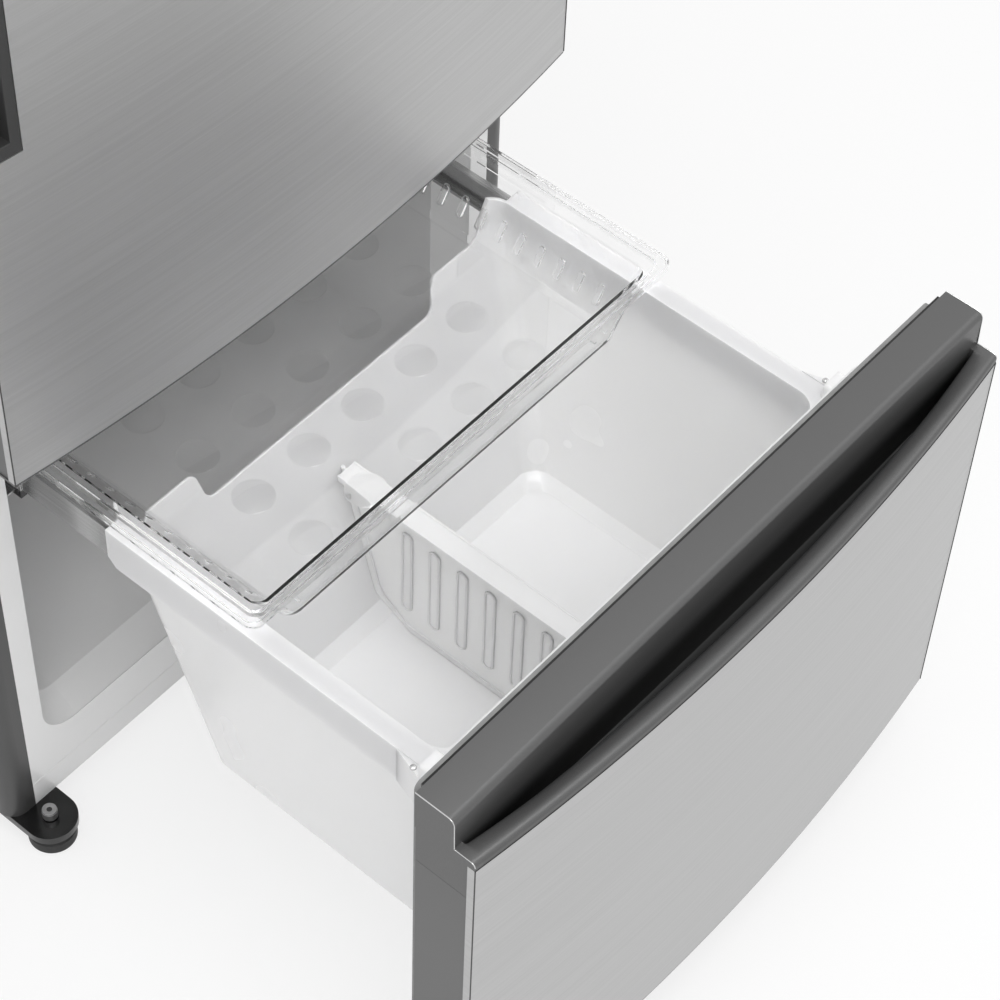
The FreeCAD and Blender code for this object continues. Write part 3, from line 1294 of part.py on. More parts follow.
# ---------------------------------------------------------------- freezer basket
def basket_ring(z, inset):
    """Plan of the basket at one height: every wall leans, the back one most."""
    share = (z - BASKET_BOTTOM) / (BASKET_TOP - BASKET_BOTTOM)
    half = BASKET_BOTTOM_HALF + share * (BASKET_TOP_HALF - BASKET_BOTTOM_HALF) - inset
    front = DRAWER_BACK + BASKET_FRONT_BOTTOM + share * (BASKET_FRONT_TOP - BASKET_FRONT_BOTTOM) + inset
    rear = DRAWER_BACK + BASKET_BACK_BOTTOM + share * (BASKET_BACK_TOP - BASKET_BACK_BOTTOM) - inset
    return outline(rectangle(-half, half, front, rear, BASKET_CORNER - inset / 4), lambda u, v: V(u, v, z))


def basket_shape(inset, bottom, top):
    chamfer = BASKET_FOOT_CHAMFER
    return loft([
        basket_ring(bottom, inset + chamfer),
        basket_ring(bottom + chamfer, inset),
        basket_ring(top, inset),
    ])


def back_notch():
    """Cut-down top edge of the back wall: low middle, raised shoulders, curves up to the rim."""
    outer = BASKET_TOP_HALF - BACK_HUMP_IN
    inner = outer - BACK_HUMP_WIDTH
    above = BASKET_TOP + 30
    right = [
        (inner - BACK_RISE, BACK_LOW_HEIGHT, BACK_RADIUS + 4), (inner, BACK_HUMP_HEIGHT, BACK_RADIUS),
        (outer, BACK_HUMP_HEIGHT, 2 * BACK_RADIUS), (outer + BACK_RIM_RISE, BASKET_TOP, BACK_RADIUS),
        (outer + BACK_RIM_RISE, above),
    ]
    left = [(-corner[0],) + corner[1:] for corner in reversed(right)]
    return left + right


def basket():
    """Deep freezer basket with a rolled rim, side skirts and a cut-down back wall."""
    outer = basket_shape(0.0, BASKET_BOTTOM, BASKET_TOP)
    inner = basket_shape(BASKET_WALL, BASKET_BOTTOM + BASKET_WALL, BASKET_TOP)
    above = loft([basket_ring(BASKET_TOP, BASKET_WALL), basket_ring(BASKET_TOP + 2, BASKET_WALL)])
    hollow = inner.fuse(above)
    back = DRAWER_BACK + RIM_BACK
    front = DRAWER_BACK + PLINTH_DEPTH + SEAT_GAP
    rim_sheet = RIM_SHEET
    rim = prism_z([
        (RIM_OUTER_HALF, front), (RIM_OUTER_HALF, back), (-RIM_OUTER_HALF, back), (-RIM_OUTER_HALF, front),
    ], BASKET_TOP - rim_sheet, BASKET_TOP)
    behind = box(-BASKET_TOP_HALF + 1, BASKET_TOP_HALF - 1, back - 30, back + 60,
                 BASKET_TOP - 2 * rim_sheet, BASKET_TOP + 1)
    parts = [outer, rim.cut(behind)]
    skirt = prism_x([
        (front, BASKET_TOP - 1), (front, SKIRT_BOTTOM), (back - 10, SKIRT_BOTTOM),
        (back, SKIRT_BOTTOM + 10), (back, BASKET_TOP - 1),
    ], RIM_OUTER_HALF - rim_sheet, RIM_OUTER_HALF)
    parts += [skirt, mirrored(skirt)]
    front_skirt = box(-RIM_OUTER_HALF, RIM_OUTER_HALF, front, front + rim_sheet,
                      SKIRT_BOTTOM + BASKET_SKIRT_STEP, BASKET_TOP - 1)
    parts.append(front_skirt)
    whole = fuse(parts).cut(hollow)
    return whole.cut(prism_y(back_notch(), back - 40, back + 60))


BRACKET_TOP = 534.0
BRACKET_HALF_OUTER = RIM_OUTER_HALF + 10.0
BRACKET_HALF_INNER = RIM_OUTER_HALF - 15.0
BRACKET_REACH = 24.0


def basket_bracket():
    """Moulded bracket that ties the basket's front corner to the drawer front."""
    y0 = DRAWER_BACK + PLINTH_DEPTH
    x1 = BRACKET_HALF_OUTER
    post = prism_z([
        (RIM_OUTER_HALF + SEAT_GAP, y0), (x1, y0), (x1, y0 + BRACKET_REACH, 3),
        (RIM_OUTER_HALF + SEAT_GAP, y0 + BRACKET_REACH + 34),
    ], SKIRT_BOTTOM, BASKET_TOP)
    tower = prism_y([
        (BRACKET_HALF_INNER, BASKET_TOP), (x1, BASKET_TOP), (x1, BRACKET_TOP, 3),
        (BRACKET_HALF_INNER, BRACKET_TOP, 6),
    ], y0, y0 + BRACKET_REACH)
    return fuse([post, tower])


def divider_span(z, gap):
    """Front and rear limits inside the basket at one height."""
    share = (z - BASKET_BOTTOM) / (BASKET_TOP - BASKET_BOTTOM)
    front = DRAWER_BACK + BASKET_FRONT_BOTTOM + share * (BASKET_FRONT_TOP - BASKET_FRONT_BOTTOM)
    rear = DRAWER_BACK + BASKET_BACK_BOTTOM + share * (BASKET_BACK_TOP - BASKET_BACK_BOTTOM)
    return front + BASKET_WALL + gap, rear - BASKET_WALL - gap


def basket_divider():
    """Sliding divider: panel with raised ovals under a flat, folded top bar."""
    z0 = BASKET_BOTTOM + BASKET_WALL + SEAT_GAP
    z1 = DIVIDER_TOP
    gap = DIVIDER_CLEARANCE
    front_low, rear_low = divider_span(z0, gap)
    front_high, rear_high = divider_span(z1, gap)
    lean = (rear_high - rear_low) / (z1 - z0)
    foot_z = z0 + DIVIDER_FOOT_RISE
    panel_corners = [
        (front_high, z1), (front_low, z0 + 14), (front_low + 14, z0),
        (rear_low - DIVIDER_FOOT_RUN, z0, 12), (rear_low + lean * DIVIDER_FOOT_RISE, foot_z, 16),
        (rear_high, z1),
    ]
    half = DIVIDER_THICKNESS / 2
    edge = DIVIDER_BAR_WIDTH / 2
    wall = DIVIDER_BAR_WALL
    bar_rear = rear_high - 6
    bar = box(-edge, edge, front_high, bar_rear, z1 - DIVIDER_BAR_HEIGHT, z1)
    under = box(-edge + wall, edge - wall, front_high - 1, bar_rear + 1, z1 - DIVIDER_BAR_HEIGHT - 1,
                z1 - DIVIDER_BAR_TOP)
    dish = box(-edge + wall, edge - wall, front_high - 1, bar_rear + 1, z1 - 0.8, z1 + 1)
    parts = [bar.cut([under, dish]), prism_x(panel_corners, -half, half).cut(dish)]
    top = z1 - DIVIDER_SLOT_DROP
    first = rear_high - DIVIDER_SLOT_FIRST
    side = DIVIDER_SLOT_WIDTH / 2
    for index in range(DIVIDER_SLOT_COUNT):
        y = first - index * DIVIDER_SLOT_PITCH
        oval = lozenge(y - side, y + side, top - DIVIDER_SLOT_HEIGHT, top)
        parts.append(prism_x(oval, -half - DIVIDER_RIB, half + DIVIDER_RIB))
    return fuse(parts)


# ---------------------------------------------------------------- upper tray
def tray_ring(z, inset, radius, front_inset=None):
    front = TRAY_FRONT + (inset if front_inset is None else front_inset)
    half = TRAY_HALF_WIDTH - inset
    return outline(rectangle(-half, half, front, TRAY_BACK - inset, radius), lambda u, v: V(u, v, z))


def tray_frame(z0, z1, outer, inner):
    """Flat ring of the tray's stepped rim; outer and inner are (side inset, front inset) pairs."""
    ring = Part.Face(tray_ring(z0, outer[0], 12, outer[1])).extrude(V(0, 0, z1 - z0))
    return ring.cut(Part.Face(tray_ring(z0 - 1, inner[0], 10, inner[1])).extrude(V(0, 0, z1 - z0 + 2)))


TRAY_STEP = 5.0
TRAY_LIP_DROP = 9.0
TRAY_FLOOR_RADIUS = 16.0
TRAY_FLOOR_EDGE = 7.0
DRAIN_SLOT_X = (24.0, 7.0)    # drain slots inside the corners of the floor
DRAIN_SLOT_LENGTH = 9.0
DRAIN_SLOT_WIDTH = 3.0
DRAIN_SLOT_SETBACK = 26.0     # behind the tray's front edge


def tray_shell():
    """Open box of the tray: leaning sides and back, upright front."""
    wall = TRAY_WALL
    edge = TRAY_FLOOR_EDGE
    step_top = TRAY_RIM_TOP - TRAY_STEP
    side = TRAY_RIM_WIDTH + TRAY_WALL_SLOPE
    front = TRAY_FRONT_RIM
    radius = TRAY_FLOOR_RADIUS
    outer = loft([
        tray_ring(TRAY_FLOOR, side + edge, radius, front + edge),
        tray_ring(TRAY_FLOOR + edge / 2, side, radius, front),
        tray_ring(step_top, TRAY_RIM_WIDTH - wall, radius - wall, front - wall),
    ])
    inner = loft([
        tray_ring(TRAY_FLOOR + wall, side + edge + wall / 2, radius - wall, front + edge + wall / 2),
        tray_ring(TRAY_FLOOR + wall + edge / 2, side + wall, radius - wall, front + wall),
        tray_ring(step_top + 0.01, TRAY_RIM_WIDTH, radius - 2 * wall, front),
    ])
    return outer.cut(inner)


def tray_wall_slots():
    """Row of upright slots through each side wall, square to the wall."""
    rise = TRAY_RIM_TOP - TRAY_STEP - TRAY_FLOOR
    lean = math.degrees(math.atan2(TRAY_WALL_SLOPE, rise))
    slot_z = TRAY_FLOOR + rise / 3
    slot_x = TRAY_HALF_WIDTH - TRAY_RIM_WIDTH - TRAY_WALL_SLOPE * 2 / 3
    start = TRAY_FRONT + TRAY_SLOT_FIRST
    count = int((TRAY_BACK - TRAY_RIM_WIDTH - TRAY_WALL_SLOPE - start) / TRAY_SLOT_PITCH) + 1
    slots = []
    for index in range(count):
        y = start + index * TRAY_SLOT_PITCH
        corners = lozenge(y - TRAY_SLOT_WIDTH / 2, y + TRAY_SLOT_WIDTH / 2,
                          slot_z - TRAY_SLOT_LENGTH / 2, slot_z + TRAY_SLOT_LENGTH / 2)
        slot = turned(prism_x(corners, slot_x - 12, slot_x + 12), V(slot_x, y, slot_z), Y_AXIS, lean)
        slots += [slot, mirrored(slot)]
    return slots


def tray_drain_slots():
    """Two small drain slots in each front corner of the floor."""
    floor_half = TRAY_HALF_WIDTH - TRAY_RIM_WIDTH - TRAY_WALL_SLOPE
    y = TRAY_FRONT + DRAIN_SLOT_SETBACK
    slots = []
    for inset in DRAIN_SLOT_X:
        x = floor_half - inset
        slot = box(x - DRAIN_SLOT_WIDTH / 2, x + DRAIN_SLOT_WIDTH / 2, y, y + DRAIN_SLOT_LENGTH,
                   TRAY_FLOOR - 1, TRAY_FLOOR + TRAY_FLOOR_EDGE)
        slots += [slot, mirrored(slot)]
    return slots


def freezer_tray():
    """Clear tray: stepped rim, slotted side walls and an upright front wall."""
    wall = TRAY_WALL
    step_top = TRAY_RIM_TOP - TRAY_STEP
    edge = (0.0, 0.0)
    lip = (wall, wall)
    step = (TRAY_RIM_WIDTH * 0.55, TRAY_FRONT_RIM * 0.55)
    under_step = (step[0] - wall, step[1] - wall)
    opening = (TRAY_RIM_WIDTH, TRAY_FRONT_RIM)
    parts = [
        tray_shell(),
        tray_frame(TRAY_RIM_TOP - wall, TRAY_RIM_TOP, edge, step),
        tray_frame(TRAY_RIM_TOP - TRAY_LIP_DROP, TRAY_RIM_TOP, edge, lip),
        tray_frame(step_top - wall, TRAY_RIM_TOP, under_step, step),
        tray_frame(step_top - wall, step_top, under_step, opening),
    ]
    return fuse(parts).cut(tray_wall_slots() + tray_drain_slots())


TRAY_RAIL_WIDTH = 26.0
TRAY_RAIL_HEIGHT = 9.0
TRAY_RAIL_GUARD = 18.0
TRAY_RAIL_FRONT = 55.0


def tray_rails():
    """Moulded grooved runners on the freezer's side walls that hold the tray's rim."""
    wall = FREEZER_HALF_WIDTH
    low = TRAY_RIM_TOP - TRAY_LIP_DROP - SEAT_GAP
    high = TRAY_RIM_TOP + SEAT_GAP
    web = wall - 4.0
    corners = [
        (wall - TRAY_RAIL_WIDTH, low), (web, low), (web, high), (wall - TRAY_RAIL_GUARD, high),
        (wall - TRAY_RAIL_GUARD, high + 6), (wall, high + 9), (wall, low - TRAY_RAIL_HEIGHT),
        (wall - TRAY_RAIL_WIDTH, low - TRAY_RAIL_HEIGHT),
    ]
    return both_sides(prism_y(corners, FACE + TRAY_RAIL_FRONT, LINER_BACK - EVAPORATOR_COVER_AHEAD - 10))


# ---------------------------------------------------------------- drawer slides
def slide_step():
    """Offset from one slide member to the next one inside it."""
    return SLIDE_SHEET + SLIDE_GAP


def channel(x_web, x_lip, z0, z1, y0, y1):
    """C-section opening towards the middle, with turned-in lips."""
    sheet = SLIDE_SHEET
    corners = [
        (x_web, z0), (x_web, z1), (x_lip, z1), (x_lip, z1 - SLIDE_LIP), (x_lip + sheet, z1 - SLIDE_LIP),
        (x_lip + sheet, z1 - sheet), (x_web - sheet, z1 - sheet), (x_web - sheet, z0 + sheet),
        (x_lip + sheet, z0 + sheet), (x_lip + sheet, z0 + SLIDE_LIP), (x_lip, z0 + SLIDE_LIP), (x_lip, z0),
    ]
    return prism_y(corners, y0, y1)


def slide_lip(level):
    """Inner face of the lips of the outer (0) or middle (1) member."""
    return SLIDE_OUTER_X - SLIDE_THICKNESS + 1.0 + level * slide_step()


def slide_outer():
    """Fixed slide members on brackets that reach under the basket's skirts."""
    y0 = FACE + SLIDE_FRONT
    y1 = y0 + SLIDE_OUTER_LENGTH
    parts = [channel(SLIDE_OUTER_X, slide_lip(0), SLIDE_BOTTOM, SLIDE_TOP, y0, y1)]
    shelf = SLIDE_BOTTOM - 5.0
    sheet = 1.5
    drop = 36.0
    wall = FREEZER_HALF_WIDTH
    length = 46.0
    for y in (INNER + MOUTH_DEPTH, y0 + SLIDE_OUTER_LENGTH / 2, y1 - length):
        corners = [
            (SLIDE_OUTER_X - 2, SLIDE_BOTTOM + 1), (SLIDE_OUTER_X - 2, shelf - sheet),
            (wall - sheet, shelf - sheet), (wall - sheet, shelf - drop), (wall, shelf - drop),
            (wall, shelf), (SLIDE_OUTER_X, shelf), (SLIDE_OUTER_X, SLIDE_BOTTOM + 1),
        ]
        parts.append(prism_y(corners, y, y + length))
    return both_sides(fuse(parts))


def slide_middle():
    """Middle slide members, half of the travel out."""
    y0 = FACE + SLIDE_FRONT - SLIDE_RATIO * DRAWER_TRAVEL
    step = slide_step()
    return both_sides(channel(SLIDE_OUTER_X - step, slide_lip(1), SLIDE_BOTTOM + step, SLIDE_TOP - step,
                              y0, y0 + SLIDE_MIDDLE_LENGTH))


def slide_inner():
    """Inner slide members, hung from the basket's rim by tabs."""
    y0 = FACE + SLIDE_FRONT - DRAWER_TRAVEL
    step = 2 * slide_step()
    x1 = SLIDE_OUTER_X - step
    x0 = SLIDE_OUTER_X - SLIDE_THICKNESS
    neck = slide_lip(1) + step
    z0 = SLIDE_BOTTOM + step
    z1 = SLIDE_TOP - step
    lip = SLIDE_LIP + 1.0
    corners = [
        (x0, z0 + lip), (neck, z0 + lip), (neck, z0), (x1, z0), (x1, z1), (neck, z1),
        (neck, z1 - lip), (x0, z1 - lip),
    ]
    parts = [prism_y(corners, y0, y0 + SLIDE_INNER_LENGTH)]
    rim_under = BASKET_TOP - RIM_SHEET
    tab = SLIDE_TAB
    length = 30.0
    for y in (y0 + length, y0 + SLIDE_INNER_LENGTH / 2, y0 + SLIDE_INNER_LENGTH - 2 * length):
        hook = [
            (x0 - tab, z0 + 2 * lip), (x0 + 0.1, z0 + 2 * lip), (x0 + 0.1, z1 - 2 * lip),
            (x0, z1 - lip), (x0, rim_under), (x0 - tab, rim_under),
        ]
        parts.append(prism_y(hook, y, y + length))
    return both_sides(fuse(parts))


# ---------------------------------------------------------------- build
def build():
    os.makedirs("parts", exist_ok=True)
    panel = side_panel()
    save("side_panel_right", panel)
    save("side_panel_left", mirrored(panel))
    save("top_panel", top_panel())
    save("back_panel", back_panel())
    save("front_frame", front_frame())
    save("insulation", insulation())
    save("fridge_liner", fridge_liner())
    save("freezer_liner", freezer_liner())
    save("base_pan", base_pan())
    save("base_plate", base_plate())
    save("foot_brackets", both_sides(foot_bracket()))
    save("foot_left", foot(-1))
    save("foot_right", foot(1))
    save("roller_left", roller(-1))
    save("roller_right", roller(1))
    save("top_hinge", top_hinge())
    save("top_hinge_cover", top_hinge_cover())
    save("middle_hinge", middle_hinge())
    save("compressor", compressor())
    save("compressor_mounts", compressor_mounts())
    save("condenser", condenser())
    save("condenser_fan_mount", condenser_fan_mount())
    save("condenser_fan", condenser_fan())
    save("drain_pan", drain_pan())
    save("machine_cover", machine_cover())
    save("cord_gland", cord_gland())
    save("evaporator", evaporator())
    save("evaporator_cover", evaporator_cover())
    save("evaporator_fan", evaporator_fan())
    save("evaporator_fan_motor", evaporator_fan_motor())
    save("shelf_frames", Part.makeCompound([shelf_frame(height) for height in SHELF_HEIGHTS]))
    panes = SHELF_HEIGHTS + (CRISPER_COVER_HEIGHT,)
    save("shelf_panes", Part.makeCompound([shelf_pane(height) for height in panes]))
    save("crisper_cover", shelf_frame(CRISPER_COVER_HEIGHT))
    save("crispers", both_sides(crisper()))
    save("control_housing", control_housing())
    save("temperature_knob", temperature_knob())
    save("lamp_lens", lamp_lens())
    save("door_skin", door_skin())
    save("door_core", door_core())
    save("door_bottom_cap", door_cap(DOOR_BOTTOM, 1))
    save("door_top_cap", door_cap(DOOR_TOP, -1))
    save("door_handle_insert", door_handle_insert())
    save("door_liner", door_liner())
    save("door_gasket", gasket(DOOR_BACK, DOOR_BOTTOM, DOOR_TOP))
    save("door_bins", Part.makeCompound([door_bin(height) for height in BIN_HEIGHTS]))
    save("drawer_skin", drawer_skin())
    save("drawer_core", drawer_core())
    save("drawer_cap", drawer_cap())
    save("drawer_bottom_cap", drawer_bottom_cap())
    save("drawer_liner", drawer_liner())
    save("drawer_gasket", gasket(DRAWER_BACK, DRAWER_BOTTOM, DRAWER_TOP))
    save("basket", basket())
    save("basket_brackets", both_sides(basket_bracket()))
    save("basket_divider", basket_divider())
    save("freezer_tray", freezer_tray())
    save("tray_rails", tray_rails())
    save("slide_outer", slide_outer())
    save("slide_middle", slide_middle())
    save("slide_inner", slide_inner())


build()
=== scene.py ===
"""Looks of the bottom freezer refrigerator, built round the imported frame."""
import math

import bmesh
import bpy
from mathutils import Matrix, Vector


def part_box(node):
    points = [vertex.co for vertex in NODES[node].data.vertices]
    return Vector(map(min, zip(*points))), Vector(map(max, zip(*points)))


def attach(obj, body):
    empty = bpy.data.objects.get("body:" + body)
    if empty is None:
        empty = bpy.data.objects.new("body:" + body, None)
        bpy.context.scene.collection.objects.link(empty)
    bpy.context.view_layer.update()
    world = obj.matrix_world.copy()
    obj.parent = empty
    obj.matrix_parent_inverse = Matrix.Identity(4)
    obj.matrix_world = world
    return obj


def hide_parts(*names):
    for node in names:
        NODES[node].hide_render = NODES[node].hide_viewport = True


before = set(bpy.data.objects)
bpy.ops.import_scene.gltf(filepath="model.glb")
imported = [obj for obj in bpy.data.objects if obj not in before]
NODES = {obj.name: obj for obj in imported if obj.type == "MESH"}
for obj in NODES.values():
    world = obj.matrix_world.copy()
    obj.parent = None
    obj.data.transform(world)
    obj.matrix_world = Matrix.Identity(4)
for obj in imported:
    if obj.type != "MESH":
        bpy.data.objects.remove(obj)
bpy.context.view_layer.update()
MM = 0.001
X_AXIS = (1, 0, 0)
Y_AXIS = (0, 1, 0)
Z_AXIS = (0, 0, 1)
WHITE = (1, 1, 1, 1)

# ------------------------------------------------------------------ camera and light
CAMERA_AT = (-1.3485, -1.4288, 2.6531)
AZIMUTH = math.radians(51.277)      # view direction, from +Y towards +X
ELEVATION = math.radians(51.522)    # how far the camera looks down
ROLL = math.radians(2.58)
FOCAL = 107.9
SENSOR = 36.0
VIEW_DISTANCE = 50

MIDDLE = (0, -0.4, 0.5)             # where the side lamps aim
BASKET_MOUTH = (0, -0.4, 0.3)       # where the top lamp aims
# name: place, aim, size in metres, power in watts
SOFTBOXES = {
    "key": ((-2.2, -2.6, 3.6), MIDDLE, (2.4, 2.4), 30),
    "fill": ((2.6, -1.6, 2.6), MIDDLE, (2.0, 2.6), 12),
    "top": ((-0.3, -0.9, 4.2), BASKET_MOUTH, (2.4, 2.4), 62),
}
STUDIO_LEVEL = 0.66                 # light that the white surroundings cast
FLOOR_HALF = 12.0
FLOOR_GREY = 0.9
FLOOR_GLOW = 0.75                   # share of plain white in a straight view of the floor


def add_camera():
    """Camera at the photograph's place, for a square picture."""
    forward = Vector((math.sin(AZIMUTH) * math.cos(ELEVATION),
                      math.cos(AZIMUTH) * math.cos(ELEVATION), -math.sin(ELEVATION)))
    level = Vector((math.cos(AZIMUTH), -math.sin(AZIMUTH), 0))
    upright = level.cross(forward)
    right = level * math.cos(ROLL) + upright * math.sin(ROLL)
    up = right.cross(forward)
    data = bpy.data.cameras.new("camera")
    data.lens = FOCAL
    data.sensor_width = SENSOR
    data.clip_end = VIEW_DISTANCE
    camera = bpy.data.objects.new("camera", data)
    rotation = Matrix((right, up, -forward)).transposed().to_4x4()
    camera.matrix_world = Matrix.Translation(CAMERA_AT) @ rotation
    bpy.context.scene.collection.objects.link(camera)
    bpy.context.scene.camera = camera


def add_softbox(name, at, aim, size, power):
    """Rectangular area lamp that faces a point."""
    data = bpy.data.lights.new(name, "AREA")
    data.shape = "RECTANGLE"
    data.size, data.size_y = size
    data.energy = power
    light = bpy.data.objects.new(name, data)
    light.location = at
    light.rotation_euler = (Vector(aim) - Vector(at)).to_track_quat("-Z", "Y").to_euler()
    bpy.context.scene.collection.objects.link(light)


# ------------------------------------------------------------------ materials
class Tree:
    """Small helper that adds and links shader nodes."""

    def __init__(self, name):
        self.material = bpy.data.materials.new(name)
        self.material.use_nodes = True
        self.nodes = self.material.node_tree.nodes
        self.links = self.material.node_tree.links
        self.shader = self.nodes["Principled BSDF"]

    def add(self, kind, inputs=None, **settings):
        """New node; a socket among the inputs is linked, and a value is set."""
        node = self.nodes.new("ShaderNode" + kind)
        for key, value in settings.items():
            setattr(node, key, value)
        for key, value in (inputs or {}).items():
            if isinstance(value, bpy.types.NodeSocket):
                self.links.new(value, node.inputs[key])
            else:
                node.inputs[key].default_value = value
        return node

    def math(self, operation, first, second=0.5):
        return self.add("Math", {0: first, 1: second}, operation=operation).outputs[0]

    def place(self, scale=(1, 1, 1)):
        """Object coordinates, stretched by scale."""
        where = self.add("TexCoord").outputs["Object"]
        return self.add("Mapping", {"Vector": where, "Scale": scale}).outputs["Vector"]

    def noise(self, scale, detail=2.0, stretch=(1, 1, 1), roughness=0.5):
        inputs = {"Vector": self.place(stretch), "Scale": scale, "Detail": detail,
                  "Roughness": roughness}
        return self.add("TexNoise", inputs).outputs["Fac"]

    def ramp(self, value, low, high, at=(0.3, 0.7)):
        """Colour from low to high between two places of the value."""
        node = self.add("ValToRGB", {"Fac": value})
        for index, colour in enumerate((low, high)):
            element = node.color_ramp.elements[index]
            element.position = at[index]
            element.color = (*colour, 1)
        return node.outputs["Color"]

    def span(self, value, low, high):
        """The value from 0 to 1, spread from low to high."""
        inputs = {"Value": value, "To Min": low, "To Max": high}
        return self.add("MapRange", inputs).outputs["Result"]

    def bump(self, height, distance, strength=1.0):
        inputs = {"Height": height, "Distance": distance, "Strength": strength}
        return self.add("Bump", inputs).outputs["Normal"]

    def feed(self, **sockets):
        """Set or link the shader's inputs; _ stands for a space."""
        for key, value in sockets.items():
            name = key.replace("_", " ")
            if isinstance(value, bpy.types.NodeSocket):
                self.links.new(value, self.shader.inputs[name])
            else:
                self.shader.inputs[name].default_value = value
        return self.material

    def blend_with(self, share, other):
        """Blend the shader with another one ahead of the output."""
        mix = self.add("MixShader", {0: share, 1: self.shader.outputs[0], 2: other}).outputs[0]
        self.links.new(mix, self.nodes["Material Output"].inputs["Surface"])

    def let_lamps_through(self, share):
        """Let part of the lamps' light pass straight through."""
        path = self.add("LightPath").outputs["Is Shadow Ray"]
        clear = self.add("BsdfTransparent", {"Color": (share, share, share, 1)}).outputs[0]
        self.blend_with(path, clear)


def grey(level):
    """Linear colour of a grey given as a display level from 0 to 1."""
    linear = level / 12.92 if level <= 0.04045 else ((level + 0.055) / 1.055) ** 2.4
    return (linear, linear, linear)


def tint(red, green, blue):
    """Linear colour of three display levels."""
    return tuple(grey(level)[0] for level in (red, green, blue))


def brushed_steel():
    """Stainless sheet with long horizontal brush lines of two sizes."""
    tree = Tree("brushed_steel")
    fine = tree.noise(1.0, 3.0, stretch=(10, 10, 2600), roughness=0.6)
    broad = tree.noise(1.0, stretch=(1.5, 1.5, 240))
    mixed = tree.add("Mix", {0: 0.35, 2: fine, 3: broad}, data_type="FLOAT").outputs[0]
    colour = tree.ramp(mixed, grey(0.715), grey(0.765), at=(0.35, 0.65))
    roughness = tree.span(mixed, 0.36, 0.46)
    normal = tree.bump(fine, 0.00004, strength=0.2)
    return tree.feed(Base_Color=colour, Roughness=roughness, Normal=normal, Metallic=1.0)


def plastic(name, level, roughness, grain=900.0, depth=0.00004, spread=0.025):
    """Moulded plastic with fine grain and slight tone variation."""
    tree = Tree(name)
    cloud = tree.noise(7.0)
    colour = tree.ramp(cloud, grey(level - spread), grey(level), at=(0.0, 1.0))
    skin = tree.noise(grain)
    rough = tree.span(cloud, roughness * 0.85, roughness * 1.15)
    normal = tree.bump(skin, depth, strength=0.5)
    return tree.feed(Base_Color=colour, Roughness=rough, Normal=normal)


def milky_plastic(name, level, roughness, glow=0.7):
    """Thin white polypropylene that some light passes through."""
    material = plastic(name, level, roughness, grain=700.0, depth=0.00002, spread=0.008)
    shader = material.node_tree.nodes["Principled BSDF"]
    shader.inputs["Subsurface Weight"].default_value = glow
    shader.inputs["Subsurface Radius"].default_value = (1.0, 1.0, 0.95)
    shader.inputs["Subsurface Scale"].default_value = 0.012
    return material


def metallic_plastic(name, pocket=None):
    """Grey moulding with a metallic lacquer; given a pocket (half width, top, depth), painted shade
    darkens its colour down into that recess.
    """
    tree = Tree(name)
    flake = tree.noise(2400.0)
    cloud = tree.noise(6.0)
    colour = tree.ramp(flake, grey(0.34), grey(0.41))
    # painted shade: within the half width the colour turns to dark grey from the top down to the
    # given depth
    if pocket:
        half, top, depth = (size * MM for size in pocket)
        where = tree.add("SeparateXYZ", {0: tree.place()})
        across = tree.math("ABSOLUTE", where.outputs["X"])
        within = tree.math("LESS_THAN", across, half)
        inputs = {"Value": where.outputs["Z"], "From Min": top, "From Max": top - depth}
        deep = tree.add("MapRange", inputs).outputs["Result"]
        share = tree.math("MULTIPLY", within, deep)
        inputs = {0: share, 6: colour, 7: (*grey(0.17), 1)}
        colour = tree.add("Mix", inputs, data_type="RGBA").outputs[2]
    rough = tree.span(cloud, 0.34, 0.42)
    normal = tree.bump(flake, 0.00003, strength=0.4)
    return tree.feed(Base_Color=colour, Roughness=rough, Normal=normal, Metallic=0.55)


def clear_plastic(name, level=0.985, roughness=0.03, ior=1.15):
    """Clear moulded polystyrene with faint flow marks."""
    tree = Tree(name)
    flow = tree.noise(14.0, stretch=(1, 1, 0.4))
    colour = tree.ramp(flow, grey(level - 0.01), grey(level + 0.01))
    rough = tree.span(flow, roughness * 0.6, roughness * 1.5)
    normal = tree.bump(flow, 0.0003, strength=0.04)
    tree.feed(Base_Color=colour, Roughness=rough, Normal=normal, IOR=ior, Transmission_Weight=1.0,
              Coat_Weight=1.0, Coat_Roughness=0.03)
    tree.let_lamps_through(0.97)
    return tree.material


def painted_steel(name, level, roughness):
    """Enamelled sheet with a little orange peel."""
    tree = Tree(name)
    cloud = tree.noise(5.0)
    colour = tree.ramp(cloud, grey(level - 0.015), grey(level + 0.015))
    wave = tree.noise(420.0)
    rough = tree.span(cloud, roughness * 0.9, roughness * 1.15)
    normal = tree.bump(wave, 0.00005, strength=0.5)
    return tree.feed(Base_Color=colour, Roughness=rough, Normal=normal, Metallic=0.1)


def zinc_steel(name, level=0.66, roughness=0.35, spangle=160.0):
    """Galvanised sheet with a faint spangle."""
    tree = Tree(name)
    cells = tree.add("TexVoronoi", {"Vector": tree.place(), "Scale": spangle}).outputs["Color"]
    value = tree.add("SeparateColor", {"Color": cells}).outputs["Red"]
    colour = tree.ramp(value, grey(level - 0.02), grey(level + 0.02), at=(0.0, 1.0))
    rough = tree.span(value, roughness * 0.95, roughness * 1.05)
    fine = tree.noise(700.0)
    normal = tree.bump(fine, 0.00004, strength=0.4)
    return tree.feed(Base_Color=colour, Roughness=rough, Normal=normal, Metallic=0.9)


def bright_steel():
    """Cold-rolled and plated steel of the slides."""
    tree = Tree("bright_steel")
    lines = tree.noise(1.0, 3.0, stretch=(1800, 20, 1800))
    colour = tree.ramp(lines, grey(0.72), grey(0.86))
    rough = tree.span(lines, 0.16, 0.28)
    normal = tree.bump(lines, 0.00003, strength=0.3)
    return tree.feed(Base_Color=colour, Roughness=rough, Normal=normal, Metallic=1.0)


